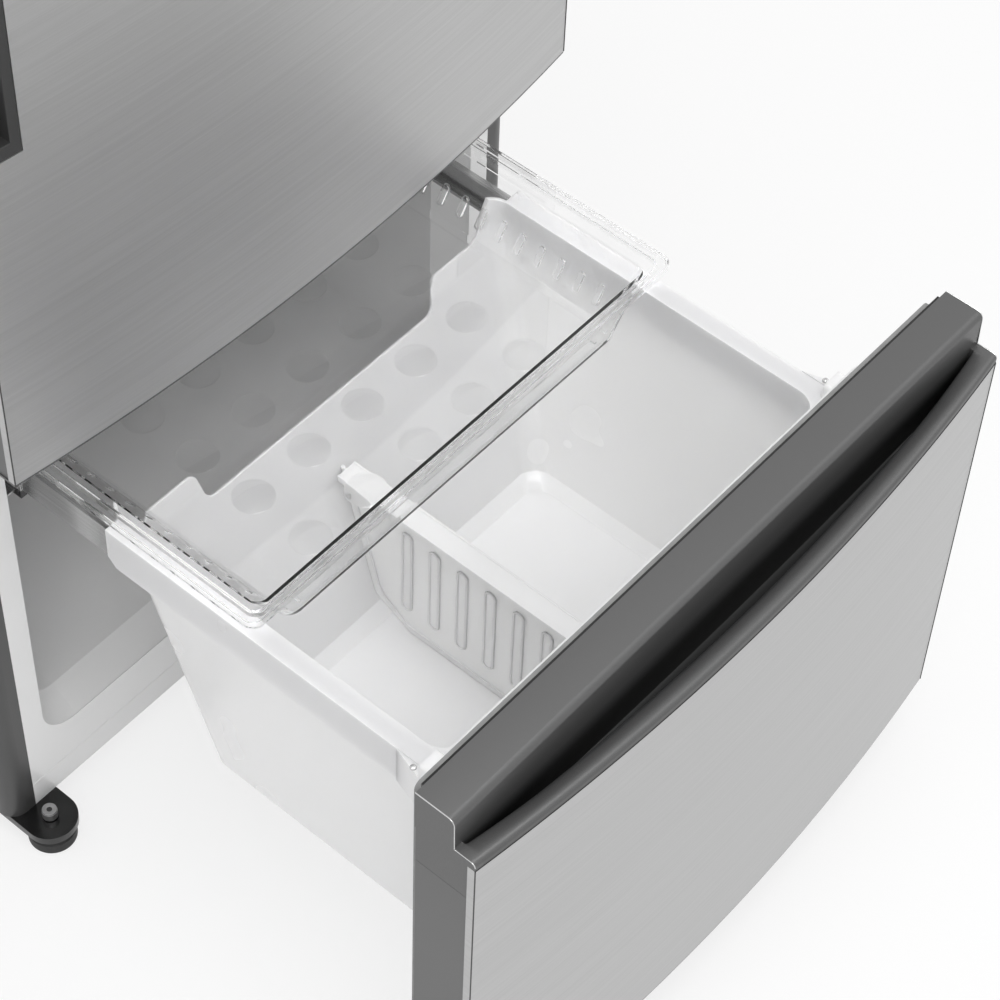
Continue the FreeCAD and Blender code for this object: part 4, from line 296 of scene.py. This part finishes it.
def rubber(name, level):
    """Dull rubber with a trace of dust."""
    tree = Tree(name)
    dust = tree.noise(60.0, 4.0)
    colour = tree.ramp(dust, grey(level - 0.03), grey(level + 0.04))
    grain = tree.noise(1500.0)
    normal = tree.bump(grain, 0.00008, strength=0.6)
    return tree.feed(Base_Color=colour, Roughness=tree.span(dust, 0.55, 0.75), Normal=normal)


def foam():
    """Yellowish cellular foam."""
    tree = Tree("foam")
    cell = tree.noise(700.0, 3.0)
    colour = tree.ramp(cell, tint(0.84, 0.78, 0.6), tint(0.93, 0.88, 0.72))
    normal = tree.bump(cell, 0.0004, strength=0.6)
    return tree.feed(Base_Color=colour, Roughness=0.85, Normal=normal)


def finned_metal():
    """Bare aluminium of the evaporator's fins."""
    tree = Tree("finned_metal")
    fine = tree.noise(300.0, 3.0)
    colour = tree.ramp(fine, grey(0.66), grey(0.8))
    return tree.feed(Base_Color=colour, Roughness=tree.span(fine, 0.25, 0.45), Metallic=1.0)


def dark_crackle(name, level, roughness, scale=500.0):
    """Dark powder coat with a coarse grain."""
    tree = Tree(name)
    coat = tree.noise(scale, 3.0)
    colour = tree.ramp(coat, grey(level * 0.7), grey(level * 1.25))
    rough = tree.span(coat, roughness * 0.8, roughness * 1.3)
    normal = tree.bump(coat, 0.0001, strength=0.6)
    return tree.feed(Base_Color=colour, Roughness=rough, Normal=normal)


LIP_TOP = 590.0                   # height of the handle cap's lip, in millimetres
POCKET_SHADE = (357.0, LIP_TOP - 1.0, 20.0)     # half width, top and depth of the painted shade in the finger pocket
MATERIALS = {
    "steel_skin": brushed_steel(),
    "cap_grey": metallic_plastic("cap_grey"),
    # the handle cap's material, with painted shade down into its finger pocket
    "cap_pocket_shade": metallic_plastic("cap_pocket_shade", POCKET_SHADE),
    "edge_grey": painted_steel("edge_grey", 0.37, 0.4),
    "edge_dark": painted_steel("edge_dark", 0.2, 0.4),
    "body_dark": painted_steel("body_dark", 0.27, 0.36),
    "frame_white": painted_steel("frame_white", 0.93, 0.3),
    "zinc": zinc_steel("zinc"),
    "slide_steel": bright_steel(),
    "liner_white": plastic("liner_white", 0.92, 0.3, grain=600.0, depth=0.00003, spread=0.01),
    "white_plastic": milky_plastic("white_plastic", 0.965, 0.26),
    "clear": clear_plastic("clear"),
    "divider_white": milky_plastic("divider_white", 0.925, 0.16, glow=0.5),
    "pane": clear_plastic("pane", level=0.96, roughness=0.02, ior=1.45),
    "dark_plastic": plastic("dark_plastic", 0.20, 0.45, grain=700.0, depth=0.00008),
    "black_gloss": dark_crackle("black_gloss", 0.08, 0.16, scale=260.0),
    "pad_rubber": rubber("pad_rubber", 0.14),
    "gasket": rubber("gasket", 0.55),
    "foam": foam(),
    "machine_black": dark_crackle("machine_black", 0.12, 0.4),
    "coil": finned_metal(),
}

# the finish of every node
FINISH = {
    "steel_skin": ["door_skin", "drawer_skin"],
    "cap_grey": ["drawer_bottom_cap", "door_top_cap", "door_bottom_cap"],
    # the handle cap takes the material with painted shade in its pocket
    "cap_pocket_shade": ["drawer_cap"],
    "edge_grey": ["door_core", "drawer_core"],
    "body_dark": ["side_panel_left", "side_panel_right", "top_panel"],
    "frame_white": ["front_frame"],
    "zinc": ["back_panel", "base_pan", "base_plate", "machine_cover", "middle_hinge",
             "top_hinge"],
    "slide_steel": ["slide_outer", "slide_middle", "slide_inner"],
    "liner_white": ["fridge_liner", "freezer_liner", "door_liner", "drawer_liner", "tray_rails"],
    "white_plastic": ["evaporator_cover", "control_housing", "shelf_frames", "crisper_cover",
                      "basket", "basket_brackets", "temperature_knob"],
    "clear": ["lamp_lens", "crispers", "door_bins", "freezer_tray"],
    "divider_white": ["basket_divider"],
    "pane": ["shelf_panes"],
    "dark_plastic": ["condenser_fan_mount", "drain_pan", "evaporator_fan_motor",
                     "top_hinge_cover", "door_handle_insert", "roller_left", "roller_right",
                     "condenser_fan", "evaporator_fan"],
    "black_gloss": ["foot_brackets"],
    "pad_rubber": ["foot_left", "foot_right", "compressor_mounts", "cord_gland"],
    "gasket": ["door_gasket", "drawer_gasket"],
    "foam": ["insulation"],
    "machine_black": ["compressor", "condenser"],
    "coil": ["evaporator"],
}

# nodes whose edges get a small radius, and its size in millimetres
SOFT_EDGES = {
    "basket": 1.2, "basket_brackets": 1.2,
    "front_frame": 0.5, "top_hinge_cover": 2.0, "foot_brackets": 1.0,
    "door_handle_insert": 1.2, "control_housing": 2.0, "temperature_knob": 1.0,
    "shelf_frames": 1.2, "crisper_cover": 1.2, "door_bins": 0.8, "crispers": 0.8,
    "evaporator_cover": 0.8, "drain_pan": 1.0, "slide_inner": 0.3, "slide_middle": 0.3,
    "slide_outer": 0.3, "middle_hinge": 0.5, "top_hinge": 0.5, "tray_rails": 0.8,
}
WELD_DISTANCE = 0.01              # millimetres
FLAT_ANGLE = 0.6                  # facets closer than this, in degrees, become one face
EDGE_ANGLE = 35                   # edges sharper than this are rounded


def round_edges(body, width, angle):
    """Bevel the edges that are sharper than the angle."""
    bevel = body.modifiers.new("bevel", "BEVEL")
    bevel.width = width * MM
    bevel.segments = 2
    bevel.limit_method = "ANGLE"
    bevel.angle_limit = math.radians(angle)
    return bevel


def soften(body, width):
    """Join the facets into whole faces and round the sharp edges."""
    weld = body.modifiers.new("weld", "WELD")
    weld.merge_threshold = WELD_DISTANCE * MM
    flat = body.modifiers.new("flat", "DECIMATE")
    flat.decimate_type = "DISSOLVE"
    flat.angle_limit = math.radians(FLAT_ANGLE)
    round_edges(body, width, EDGE_ANGLE).miter_outer = "MITER_ARC"
    normals = body.modifiers.new("normals", "WEIGHTED_NORMAL")
    normals.keep_sharp = False


def finish_nodes():
    """Give every carried-over node its material, and soften its edges."""
    for finish, names in FINISH.items():
        for name in names:
            body = NODES[name]
            body.data.materials.clear()
            body.data.materials.append(MATERIALS[finish])
    for name, width in SOFT_EDGES.items():
        soften(NODES[name], width)


# ------------------------------------------------------------------ shapes of small pieces
SHARP_ANGLE = 38                  # edges above this, in degrees, are shaded sharp


def new_piece(name, body, finish, parts, smooth=True):
    """Mesh object in millimetres from (points, faces) parts, riding on a body."""
    points, faces = [], []
    for part_points, part_faces in parts:
        start = len(points)
        points += [tuple(c * MM for c in p) for p in part_points]
        faces += [tuple(start + i for i in face) for face in part_faces]
    mesh = bpy.data.meshes.new(name)
    mesh.from_pydata(points, [], faces)
    shape = bmesh.new()
    shape.from_mesh(mesh)
    bmesh.ops.recalc_face_normals(shape, faces=shape.faces)
    shape.to_mesh(mesh)
    shape.free()
    item = bpy.data.objects.new(name, mesh)
    bpy.context.scene.collection.objects.link(item)
    mesh.materials.append(MATERIALS[finish])
    if smooth:
        mesh.shade_smooth()
        mesh.set_sharp_from_angle(angle=math.radians(SHARP_ANGLE))
    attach(item, body)
    return item


def box_of(node):
    """Lowest and highest corner of a node, in millimetres."""
    low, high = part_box(node)
    return low / MM, high / MM


def quarter(steps):
    """Angles from 0 to a right angle."""
    return [math.pi / 2 * k / steps for k in range(steps + 1)]


def spread(half, steps):
    """Even places from -half to half."""
    return [half * (-1 + 2 * k / steps) for k in range(steps + 1)]


def frame_of(axis):
    """Two directions square to an axis, and the axis with length 1."""
    axis = Vector(axis).normalized()
    helper = Vector(Z_AXIS) if abs(axis.z) < 0.9 else Vector(X_AXIS)
    side = axis.cross(helper).normalized()
    return side, axis.cross(side), axis


def lathe(profile, at, axis, sides=20):
    """Turned shape from (radius, height) pairs; a radius of 0 closes an end."""
    side, up, axis = frame_of(axis)
    points, faces, rings = [], [], []
    for radius, height in profile:
        centre = Vector(at) + axis * height
        if radius == 0:
            rings.append([len(points)])
            points.append(centre)
            continue
        rings.append(list(range(len(points), len(points) + sides)))
        for k in range(sides):
            turn = 2 * math.pi * k / sides
            points.append(centre + (side * math.cos(turn) + up * math.sin(turn)) * radius)
    for low, high in zip(rings, rings[1:]):
        for k in range(sides):
            after = (k + 1) % sides
            corners = [low[k % len(low)], low[after % len(low)],
                       high[after % len(high)], high[k % len(high)]]
            corners = list(dict.fromkeys(corners))
            if len(corners) > 2:
                faces.append(tuple(corners))
    return points, faces


def tube_faces(count, width, closed=False):
    """Faces over count rings of width points each, with end faces unless closed."""
    faces = []
    for k in range(count if closed else count - 1):
        for j in range(width):
            a, b = k * width, (k + 1) % count * width
            faces.append((a + j, a + (j + 1) % width, b + (j + 1) % width, b + j))
    if not closed:
        faces += [tuple(range(width)), tuple(range((count - 1) * width, count * width))]
    return faces


def sweep(path, section, closed=False, up=Z_AXIS):
    """Section (u, v) carried along a path; v points along up."""
    path = [Vector(p) for p in path]
    count = len(path)
    points = []
    for k, here in enumerate(path):
        before = path[k - 1] if closed or k else here
        after = path[(k + 1) % count] if closed or k < count - 1 else here
        ahead = (after - before).normalized()
        side = ahead.cross(Vector(up)).normalized()
        rise = side.cross(ahead)
        points += [here + side * u + rise * v for u, v in section]
    return points, tube_faces(count, len(section), closed)


def ring_section(radius, sides=6):
    """Round section for a sweep."""
    turns = [2 * math.pi * k / sides for k in range(sides)]
    return [(radius * math.cos(turn), radius * math.sin(turn)) for turn in turns]


def block(x0, x1, y0, y1, z0, z1):
    """Plain box between six planes."""
    points = [(x, y, z) for x in (x0, x1) for y in (y0, y1) for z in (z0, z1)]
    faces = [(0, 1, 3, 2), (4, 6, 7, 5), (0, 4, 5, 1), (2, 3, 7, 6), (0, 2, 6, 4), (1, 5, 7, 3)]
    return points, faces


def stadium(width, length, steps=6):
    """Closed oval outline (u, v) standing upright, centred."""
    radius = width / 2
    straight = length / 2 - radius
    outline = []
    for centre, start in ((straight, 0), (-straight, math.pi)):
        for k in range(steps + 1):
            turn = start + math.pi * k / steps
            outline.append((radius * math.cos(turn), centre + radius * math.sin(turn)))
    return outline


def mirrored(parts):
    """The same parts on the other side of the plane of symmetry."""
    return [([(-p[0], p[1], p[2]) for p in points], faces) for points, faces in parts]


def both(parts):
    return parts + mirrored(parts)


def screw(at, axis, radius):
    """Pan head with a round recess, standing on a surface."""
    profile = [(radius, 0), (radius, 0.8), (radius * 0.82, 1.7), (radius * 0.35, 2.1),
               (radius * 0.3, 1.2), (0, 1.2)]
    return [lathe(profile, at, axis, 16)]


def hex_screw(at, axis, radius):
    """Hexagon head on a round flange."""
    flange = lathe([(radius * 1.5, 0), (radius * 1.5, 0.8), (radius, 1.3)], at, axis)
    head = lathe([(radius, 1.0), (radius, 4.2), (radius * 0.85, 4.8), (0, 4.8)], at, axis, 6)
    return [flange, head]


# ------------------------------------------------------------------ pieces of the tray
TRAY_BOTTOM = 477.0
TRAY_FLOOR_TOP = 479.4
TRAY_RIM = 22.0                   # width of the rim outside the side wall
TRAY_WALL_RISE = 64.0
TRAY_WALL_RUN = 37.0              # how far the side wall leans out over its height
DIMPLE_RADIUS = 21.0
DIMPLE_RISE = 2.0
DIMPLE_LIFT = 0.05
DIMPLE_ROWS = 5
DIMPLE_COLUMNS = (-2, -1, 0, 1, 2)
DIMPLE_PITCH = (75.0, 72.0)
DIMPLE_SETBACK = 66.5             # first row of dimples behind the tray's front
SLOT_COUNT = 15
SLOT_PITCH = 25.1
SLOT_FIRST = 52.0
SLOT_SIZE = (7.6, 22.6)
SLOT_BEAD = 0.9
SLOT_LIFT = 0.2
SLOT_OUTWARD = (1, 0, -0.6)


def add_tray_dimples():
    """Shallow lens-shaped bumps in the tray's floor."""
    low, high = box_of("freezer_tray")
    profile = [(0, 0)]
    for turn in reversed(quarter(6)[1:]):
        profile.append((DIMPLE_RADIUS * math.sin(turn), DIMPLE_RISE * math.cos(turn) ** 1.5))
    profile.append((0, DIMPLE_RISE))
    parts = []
    for row in range(DIMPLE_ROWS):
        y = low.y + DIMPLE_SETBACK + row * DIMPLE_PITCH[1]
        for column in DIMPLE_COLUMNS:
            at = (column * DIMPLE_PITCH[0], y, TRAY_FLOOR_TOP + DIMPLE_LIFT)
            parts.append(lathe(profile, at, Z_AXIS, 32))
    new_piece("tray_dimples", "tray", "clear", parts)


def add_slot_rims():
    """Raised rims round the slots of the tray's side walls."""
    low, high = box_of("freezer_tray")
    lean = math.atan2(TRAY_WALL_RUN, TRAY_WALL_RISE)
    wall_x = high.x - TRAY_RIM - TRAY_WALL_RUN * 2 / 3 + SLOT_LIFT
    middle_z = TRAY_BOTTOM + TRAY_WALL_RISE / 3
    parts = []
    for index in range(SLOT_COUNT):
        y = low.y + SLOT_FIRST + index * SLOT_PITCH
        path = [(wall_x + v * math.sin(lean), y + u, middle_z + v * math.cos(lean))
                for u, v in stadium(*SLOT_SIZE)]
        parts.append(sweep(path, ring_section(SLOT_BEAD), True, SLOT_OUTWARD))
    new_piece("tray_slot_rims", "tray", "clear", both(parts))


# ------------------------------------------------------------------ pieces of the drawer and door
FRONT_BOW = 25.0
SKIN_TOP = 580.0
SKIN = 1.2
SKIN_SEAT = 0.05                  # cap to the inner face of the skin
CAP_BLOCK = 42.0                  # depth of the straight block behind the pocket
CAP_CORNER = 7.0                  # radius of the block's front edge
LIP_WIDTH = 21.0
LIP_EDGE = 5.0                    # radius of the lip's front edge
LIP_DROP = 8.0                    # how far the lip rolls down into the pocket
POCKET_DEPTH = 40.0
POCKET_LEAST = 0.25               # width of the pocket where it runs out
POCKET_FULL = 12.0                # the pocket has its full depth from this width on
END_WALL = 10.0
END_EASE = 3.0
CAP_STEPS = 60
CAP_EDGE = 0.9
CAP_EDGE_ANGLE = 62
# places across the pocket from its back wall, and down into it, as shares
POCKET_PROFILE = ((0.0, 0.02), (0.0, 0.3), (0.02, 0.6), (0.1, 0.85), (0.28, 0.98), (0.5, 1.0),
                  (0.75, 0.95), (0.92, 0.78), (1.0, 0.5))
# places forward of the pocket in millimetres, and down from the lip's top as shares of its drop
LIP_PROFILE = ((0.0, 1.1), (0.8, 0.85), (2.5, 0.62), (5.5, 0.38), (9.0, 0.18), (12.5, 0.05),
               (15.5, 0.0))

# radius of the bright steel line along the cap's ends, a painted highlight on the rounded edge
END_HIGHLIGHT = 0.5
SEAM = 0.55
EDGE_SEAM = 0.7
EDGE_SEAM_INSET = (0.35, 0.1)     # centre of the seam inside the skin's edge, and before it
SEAM_LIFT = 0.05
# a black strip behind the handle cap stands for the shadowed gap there: painted shade
SHADE_STRIP_INSET = 10.0
SHADE_STRIP_DEPTH = 2.4
SHADE_STRIP_DROP = (20.0, 0.6)        # lower and upper edge below the cap's top


def front_line(x, half, corner):
    """Bowed front edge of the drawer at x; corner is the edge's place at the sides."""
    radius = (half ** 2 + FRONT_BOW ** 2) / (2 * FRONT_BOW)
    return corner - FRONT_BOW + radius - math.sqrt(radius ** 2 - x ** 2)


def rounded(y, z, radius):
    """Quarter round at the front edge (y, z) of a flat top, from the top to the front."""
    return [(y + radius * (1 - math.sin(turn)), z - radius * (1 - math.cos(turn)))
            for turn in quarter(5)]


def cap_section(x, half, back, wall, front, top, bottom):
    """Section of the handle cap at x as (y, z) points: block, finger pocket, rolled lip."""
    inner = front + LIP_WIDTH
    width = max(wall - front - LIP_WIDTH, POCKET_LEAST)
    share = min(1.0, max(0.0, (half - END_WALL - abs(x)) / END_EASE))
    depth = share * POCKET_DEPTH * min(1.0, 0.3 + width / POCKET_FULL)
    drop = share * LIP_DROP * min(1.0, width / POCKET_FULL)
    hollow = [(wall - u * width, LIP_TOP - v * depth) for u, v in POCKET_PROFILE]
    roll = [(inner - u, LIP_TOP - v * drop) for u, v in LIP_PROFILE]
    inside = front + SKIN + SKIN_SEAT
    foot = [(front, SKIN_TOP), (inside, SKIN_TOP), (inside, bottom)]
    return ([(back, bottom), (back, top)] + rounded(wall, top, CAP_CORNER) + hollow + roll
            + rounded(front, LIP_TOP, LIP_EDGE)[1:] + foot)


def add_handle_cap():
    """Handle cap with its soft finger pocket and rolled lip, and a painted highlight along each
    end.
    """
    low, high = box_of("drawer_cap")
    half, back, top, bottom = high.x, high.y, high.z, low.z
    wall = back - CAP_BLOCK
    corner = low.y + FRONT_BOW
    ends = [0.0, SKIN, SKIN + 0.1, END_WALL - 0.1, END_WALL + 0.5, END_WALL + END_EASE]
    steps = [end - half for end in ends] + spread(half - END_WALL - 2 * END_EASE, CAP_STEPS)
    steps += [half - end for end in reversed(ends)]
    points = []
    for x in steps:
        section = cap_section(x, half, back, wall, front_line(x, half, corner), top, bottom)
        if abs(x) > half - SKIN - SKIN_SEAT:
            section = [(y, max(z, SKIN_TOP)) for y, z in section]
        points += [(x, y, z) for y, z in section]
    body = (points, tube_faces(len(steps), len(section)))
    # the cap's material darkens into the pocket as painted shade
    cap = new_piece("handle_cap", "freezer_drawer", "cap_pocket_shade", [body])
    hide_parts("drawer_cap")
    round_edges(cap, CAP_EDGE, CAP_EDGE_ANGLE)
    # painted highlight: a bright steel line follows the outline of each end of the cap, standing
    # for the glint on its edge
    rim = [(y, z) for y, z in section if z > SKIN_TOP and (z > LIP_TOP or y < wall - 0.5)]
    path = [(half - END_HIGHLIGHT / 2, y, z) for y, z in rim]
    line = sweep(path, ring_section(END_HIGHLIGHT), up=X_AXIS)
    new_piece("cap_end_highlights", "freezer_drawer", "slide_steel", both([line]))


def edge_seams(low, high):
    """Seams along both side edges of a bowed skin with this box."""
    across, ahead = EDGE_SEAM_INSET
    parts = []
    for side in (-1, 1):
        edge = [(side * (high.x - across), low.y + FRONT_BOW - ahead, z) for z in (low.z, high.z)]
        parts.append(sweep(edge, ring_section(EDGE_SEAM), up=X_AXIS))
    return parts


def add_seams():
    """Hairline seams under the lip and at the skins' edges, and a black strip behind the cap that
    is painted shade in the gap there.
    """
    low, high = box_of("drawer_skin")
    corner = low.y + FRONT_BOW
    line = [(x, front_line(x, high.x, corner) - SEAM_LIFT, SKIN_TOP) for x in spread(high.x, 40)]
    parts = [sweep(line, ring_section(SEAM))] + edge_seams(low, high)
    new_piece("drawer_seams", "freezer_drawer", "edge_dark", parts)
    # painted shade: a black strip fills the gap behind the cap
    low, high = box_of("drawer_cap")
    bottom, top = (high.z - drop for drop in SHADE_STRIP_DROP)
    strip = [block(low.x + SHADE_STRIP_INSET, high.x - SHADE_STRIP_INSET, high.y, high.y + SHADE_STRIP_DEPTH,
                   bottom, top)]
    new_piece("gap_shade_strip", "freezer_drawer", "black_gloss", strip, False)
    parts = edge_seams(*box_of("door_skin"))
    new_piece("door_seams", "fridge_door", "edge_dark", parts)


DIVIDER_TOP = 363.0
OVAL_DROP = 93.0                  # middle of the ovals below the divider's top
OVAL_COUNT = 6
OVAL_FIRST = 89.0                 # first oval ahead of the divider's rear edge
OVAL_PITCH = 36.0
OVAL_SIZE = (12.0, 122.0)
OVAL_BEAD = 1.5
OVAL_FACE = 2.3                   # middle of the beads from the divider's mid plane
BORDER_BEAD = 1.3
BORDER_FACE = 1.5
BORDER_BOTTOM = 181.0
BORDER_FRONT = 26.0
# places ahead of the divider's rear edge, and heights
BORDER_REAR = ((15.0, 346.0), (51.0, 215.0), (58.0, 203.0), (92.0, BORDER_BOTTOM))


def add_divider_ribs():
    """Beads round the divider's ovals and along its edges."""
    low, high = box_of("basket_divider")
    middle = DIVIDER_TOP - OVAL_DROP
    parts = []
    for index in range(OVAL_COUNT):
        y = high.y - OVAL_FIRST - index * OVAL_PITCH
        for side in (-1, 1):
            path = [(side * OVAL_FACE, y + u, middle + v) for u, v in stadium(*OVAL_SIZE, 8)]
            parts.append(sweep(path, ring_section(OVAL_BEAD, 8), True, X_AXIS))
    border = [(high.y - ahead, z) for ahead, z in BORDER_REAR]
    border.append((low.y + BORDER_FRONT, BORDER_BOTTOM))
    for side in (-1, 1):
        path = [(side * BORDER_FACE, y, z) for y, z in border]
        parts.append(sweep(path, ring_section(BORDER_BEAD, 8), up=X_AXIS))
    new_piece("divider_ribs", "divider", "divider_white", parts)


SKIRT_INSET = 18.0                # outer face of the skirt's wall inside the basket's side
CLIP_LEVEL = 452.0
CLIP_SIZE = (5.0, 12.0, 8.0)
CLIP_SETBACK = 44.0               # clip's rear face ahead of the basket's rear
HOOK_SIZE = (4.5, 4.0, 4.0)
HOOK_DROP = 3.0
NOSE_X = (271.0, 283.4)
NOSE_Y = (0.5, 38.0)              # from the front end of the fixed member
NOSE_Z = (456.0, 466.8)
BRACKET_SCREW_INSET = (4.9, 34.0)
BRACKET_SCREW_Z = 515.0


def add_basket_clips():
    """Release clips under the rear ends of the basket's skirts."""
    low, high = box_of("basket")
    rear = high.y - CLIP_SETBACK
    parts = []
    for size, reach, z in ((CLIP_SIZE, -1.0, CLIP_LEVEL), (HOOK_SIZE, 0.5, CLIP_LEVEL - HOOK_DROP)):
        x = high.x - SKIRT_INSET + reach
        parts.append(block(x - size[0], x, rear - size[1], rear, z, z + size[2]))
    new_piece("basket_clips", "freezer_drawer", "white_plastic", both(parts), False)


def add_slide_noses():
    """Black noses under the front ends of the fixed members."""
    low, high = box_of("slide_outer")
    nose = block(*NOSE_X, low.y + NOSE_Y[0], low.y + NOSE_Y[1], *NOSE_Z)
    new_piece("slide_noses", "cabinet", "black_gloss", both([nose]), False)


def add_bracket_screws():
    """Screws on the white corner brackets between basket and drawer front."""
    low, high = box_of("basket_brackets")
    at = (high.x - BRACKET_SCREW_INSET[0], low.y + BRACKET_SCREW_INSET[1], BRACKET_SCREW_Z)
    parts = screw(at, Z_AXIS, 3.2)
    new_piece("corner_bracket_screws", "freezer_drawer", "slide_steel",
              both(parts))


# ------------------------------------------------------------------ pieces of the cabinet
# (radius, height) pairs from the floor
FOOT_HEAD = ((5.2, 35.9), (8.3, 35.9), (8.3, 45.2), (7.4, 46.3), (3.2, 46.3), (2.8, 45.9),
             (0, 45.9))
THREAD_RADII = (5.0, 5.6)
THREAD_START = 20.4
THREAD_PITCH = 1.1
THREAD_WIDTH = 1.0
THREAD_TURNS = 9
FOOT_SCREW_Z = 29.0
FOOT_SCREW_INSETS = (14.0, 34.0)  # ahead of the bracket's rear edge
BACK_INSET = 14.0                 # screws of the back panel inside its edges
BACK_COLUMNS = (-1, -0.5, 0, 0.5, 1)
BACK_ROWS = 6
BACK_PITCH = 195.0
BACK_SCREW = 3.0
COVER_COLUMNS = (-0.96, -0.4, 0.4, 0.96)
COVER_INSET = 9.0
HINGE_SCREW_INSET = 22.0


def add_foot_bolts():
    """Threaded stem and steel head of each levelling foot, and the screws of its bracket."""
    for name in ("left", "right"):
        low, high = box_of("foot_" + name)
        middle = (low + high) / 2
        base = (middle.x, middle.y, 0)
        parts = [lathe(FOOT_HEAD, base, Z_AXIS, 28)]
        core, crest = THREAD_RADII
        for turn in range(THREAD_TURNS):
            z = THREAD_START + turn * THREAD_PITCH
            ridge = [(core, z), (crest, z + THREAD_WIDTH / 2), (core, z + THREAD_WIDTH)]
            parts.append(lathe(ridge, base, Z_AXIS))
        new_piece("foot_bolt_" + name, name + "_foot", "zinc", parts)
    low, high = box_of("foot_brackets")
    parts = []
    for inset in FOOT_SCREW_INSETS:
        parts += screw((high.x, high.y - inset, FOOT_SCREW_Z), X_AXIS, 2.8)
    new_piece("foot_bracket_screws", "cabinet", "black_gloss", both(parts))


def add_cabinet_screws():
    """Screws of the back panel, the machine cover and the top hinge cover."""
    low, high = box_of("back_panel")
    edge, top = high.x - BACK_INSET, high.z - BACK_INSET
    places = [(share * edge, top) for share in BACK_COLUMNS]
    for row in range(1, BACK_ROWS + 1):
        places += [(edge, top - row * BACK_PITCH), (-edge, top - row * BACK_PITCH)]
    parts = []
    for x, z in places:
        parts += hex_screw((x, high.y, z), Y_AXIS, BACK_SCREW)
    new_piece("back_screws", "cabinet", "zinc", parts)
    low, high = box_of("machine_cover")
    parts = []
    for share in COVER_COLUMNS:
        for z in (low.z + COVER_INSET, high.z - COVER_INSET):
            parts += hex_screw((share * high.x, high.y, z), Y_AXIS, BACK_SCREW)
    new_piece("machine_cover_screws", "cabinet", "zinc", parts)
    low, high = box_of("top_hinge_cover")
    at = ((low.x + high.x) / 2, high.y - HINGE_SCREW_INSET, high.z)
    new_piece("hinge_cover_screw", "cabinet", "slide_steel",
              screw(at, Z_AXIS, 3.6))


POINTER_HALF = 0.9
POINTER_ENDS = (3.0, 6.0)         # above the knob's middle, and below its top
POINTER_FACES = (-0.4, 0.3)
DOT_COUNT = 8
DOT_ANGLE = 40.0
DOT_CIRCLE = 15.5
DOT_FACE = 0.2
DOT_PROFILE = ((0.9, 0), (0.9, 0.6), (0, 0.6))


def add_knob_marks():
    """Pointer and ring of dots on the thermostat knob."""
    low, high = box_of("temperature_knob")
    middle = (low + high) / 2
    parts = [block(middle.x - POINTER_HALF, middle.x + POINTER_HALF,
                   low.y + POINTER_FACES[0], low.y + POINTER_FACES[1],
                   middle.z + POINTER_ENDS[0], high.z - POINTER_ENDS[1])]
    for step in range(1, DOT_COUNT + 1):
        turn = math.radians(DOT_ANGLE * step)
        at = (middle.x + DOT_CIRCLE * math.sin(turn), low.y + DOT_FACE,
              middle.z + DOT_CIRCLE * math.cos(turn))
        parts.append(lathe(DOT_PROFILE, at, (0, -1, 0), 10))
    new_piece("knob_marks", "thermostat_knob", "dark_plastic", parts, False)


# ------------------------------------------------------------------ floor and world
def add_floor():
    """Plain pale floor that looks white in straight views."""
    mesh = bpy.data.meshes.new("floor")
    corners = [(-FLOOR_HALF, -FLOOR_HALF, 0), (FLOOR_HALF, -FLOOR_HALF, 0),
               (FLOOR_HALF, FLOOR_HALF, 0), (-FLOOR_HALF, FLOOR_HALF, 0)]
    mesh.from_pydata(corners, [], [(0, 1, 2, 3)])
    floor = bpy.data.objects.new("floor", mesh)
    bpy.context.scene.collection.objects.link(floor)
    tree = Tree("floor")
    tree.feed(Base_Color=(FLOOR_GREY, FLOOR_GREY, FLOOR_GREY, 1), Roughness=0.7)
    path = tree.add("LightPath")
    seen = tree.math("MAXIMUM", path.outputs["Is Camera Ray"], path.outputs["Is Glossy Ray"])
    seen = tree.math("MAXIMUM", seen, path.outputs["Is Transmission Ray"])
    share = tree.math("MULTIPLY", seen, FLOOR_GLOW)
    glow = tree.add("Emission", {"Color": WHITE, "Strength": 1.0}).outputs[0]
    tree.blend_with(share, glow)
    mesh.materials.append(tree.material)


def add_world(level):
    """White studio; level is the light it casts, and straight views of it are white."""
    world = bpy.data.worlds.new("studio")
    bpy.context.scene.world = world
    world.use_nodes = True
    nodes, links = world.node_tree.nodes, world.node_tree.links
    path = nodes.new("ShaderNodeLightPath")
    seen = path.outputs["Is Camera Ray"]
    for ray in ("Is Transmission Ray", "Is Glossy Ray"):
        widest = nodes.new("ShaderNodeMath")
        widest.operation = "MAXIMUM"
        links.new(seen, widest.inputs[0])
        links.new(path.outputs[ray], widest.inputs[1])
        seen = widest.outputs[0]
    strength = nodes.new("ShaderNodeMapRange")
    strength.inputs["To Min"].default_value = level
    strength.inputs["To Max"].default_value = 1.0
    links.new(seen, strength.inputs["Value"])
    links.new(strength.outputs["Result"], nodes["Background"].inputs["Strength"])
    nodes["Background"].inputs["Color"].default_value = WHITE


# ------------------------------------------------------------------ build
bpy.context.scene.view_settings.view_transform = "Standard"
add_camera()
add_world(STUDIO_LEVEL)
add_floor()
for softbox, settings in SOFTBOXES.items():
    add_softbox(softbox, *settings)
finish_nodes()
add_handle_cap()
add_seams()
add_tray_dimples()
add_slot_rims()
add_divider_ribs()
add_basket_clips()
add_slide_noses()
add_bracket_screws()
add_foot_bolts()
add_cabinet_screws()
add_knob_marks()
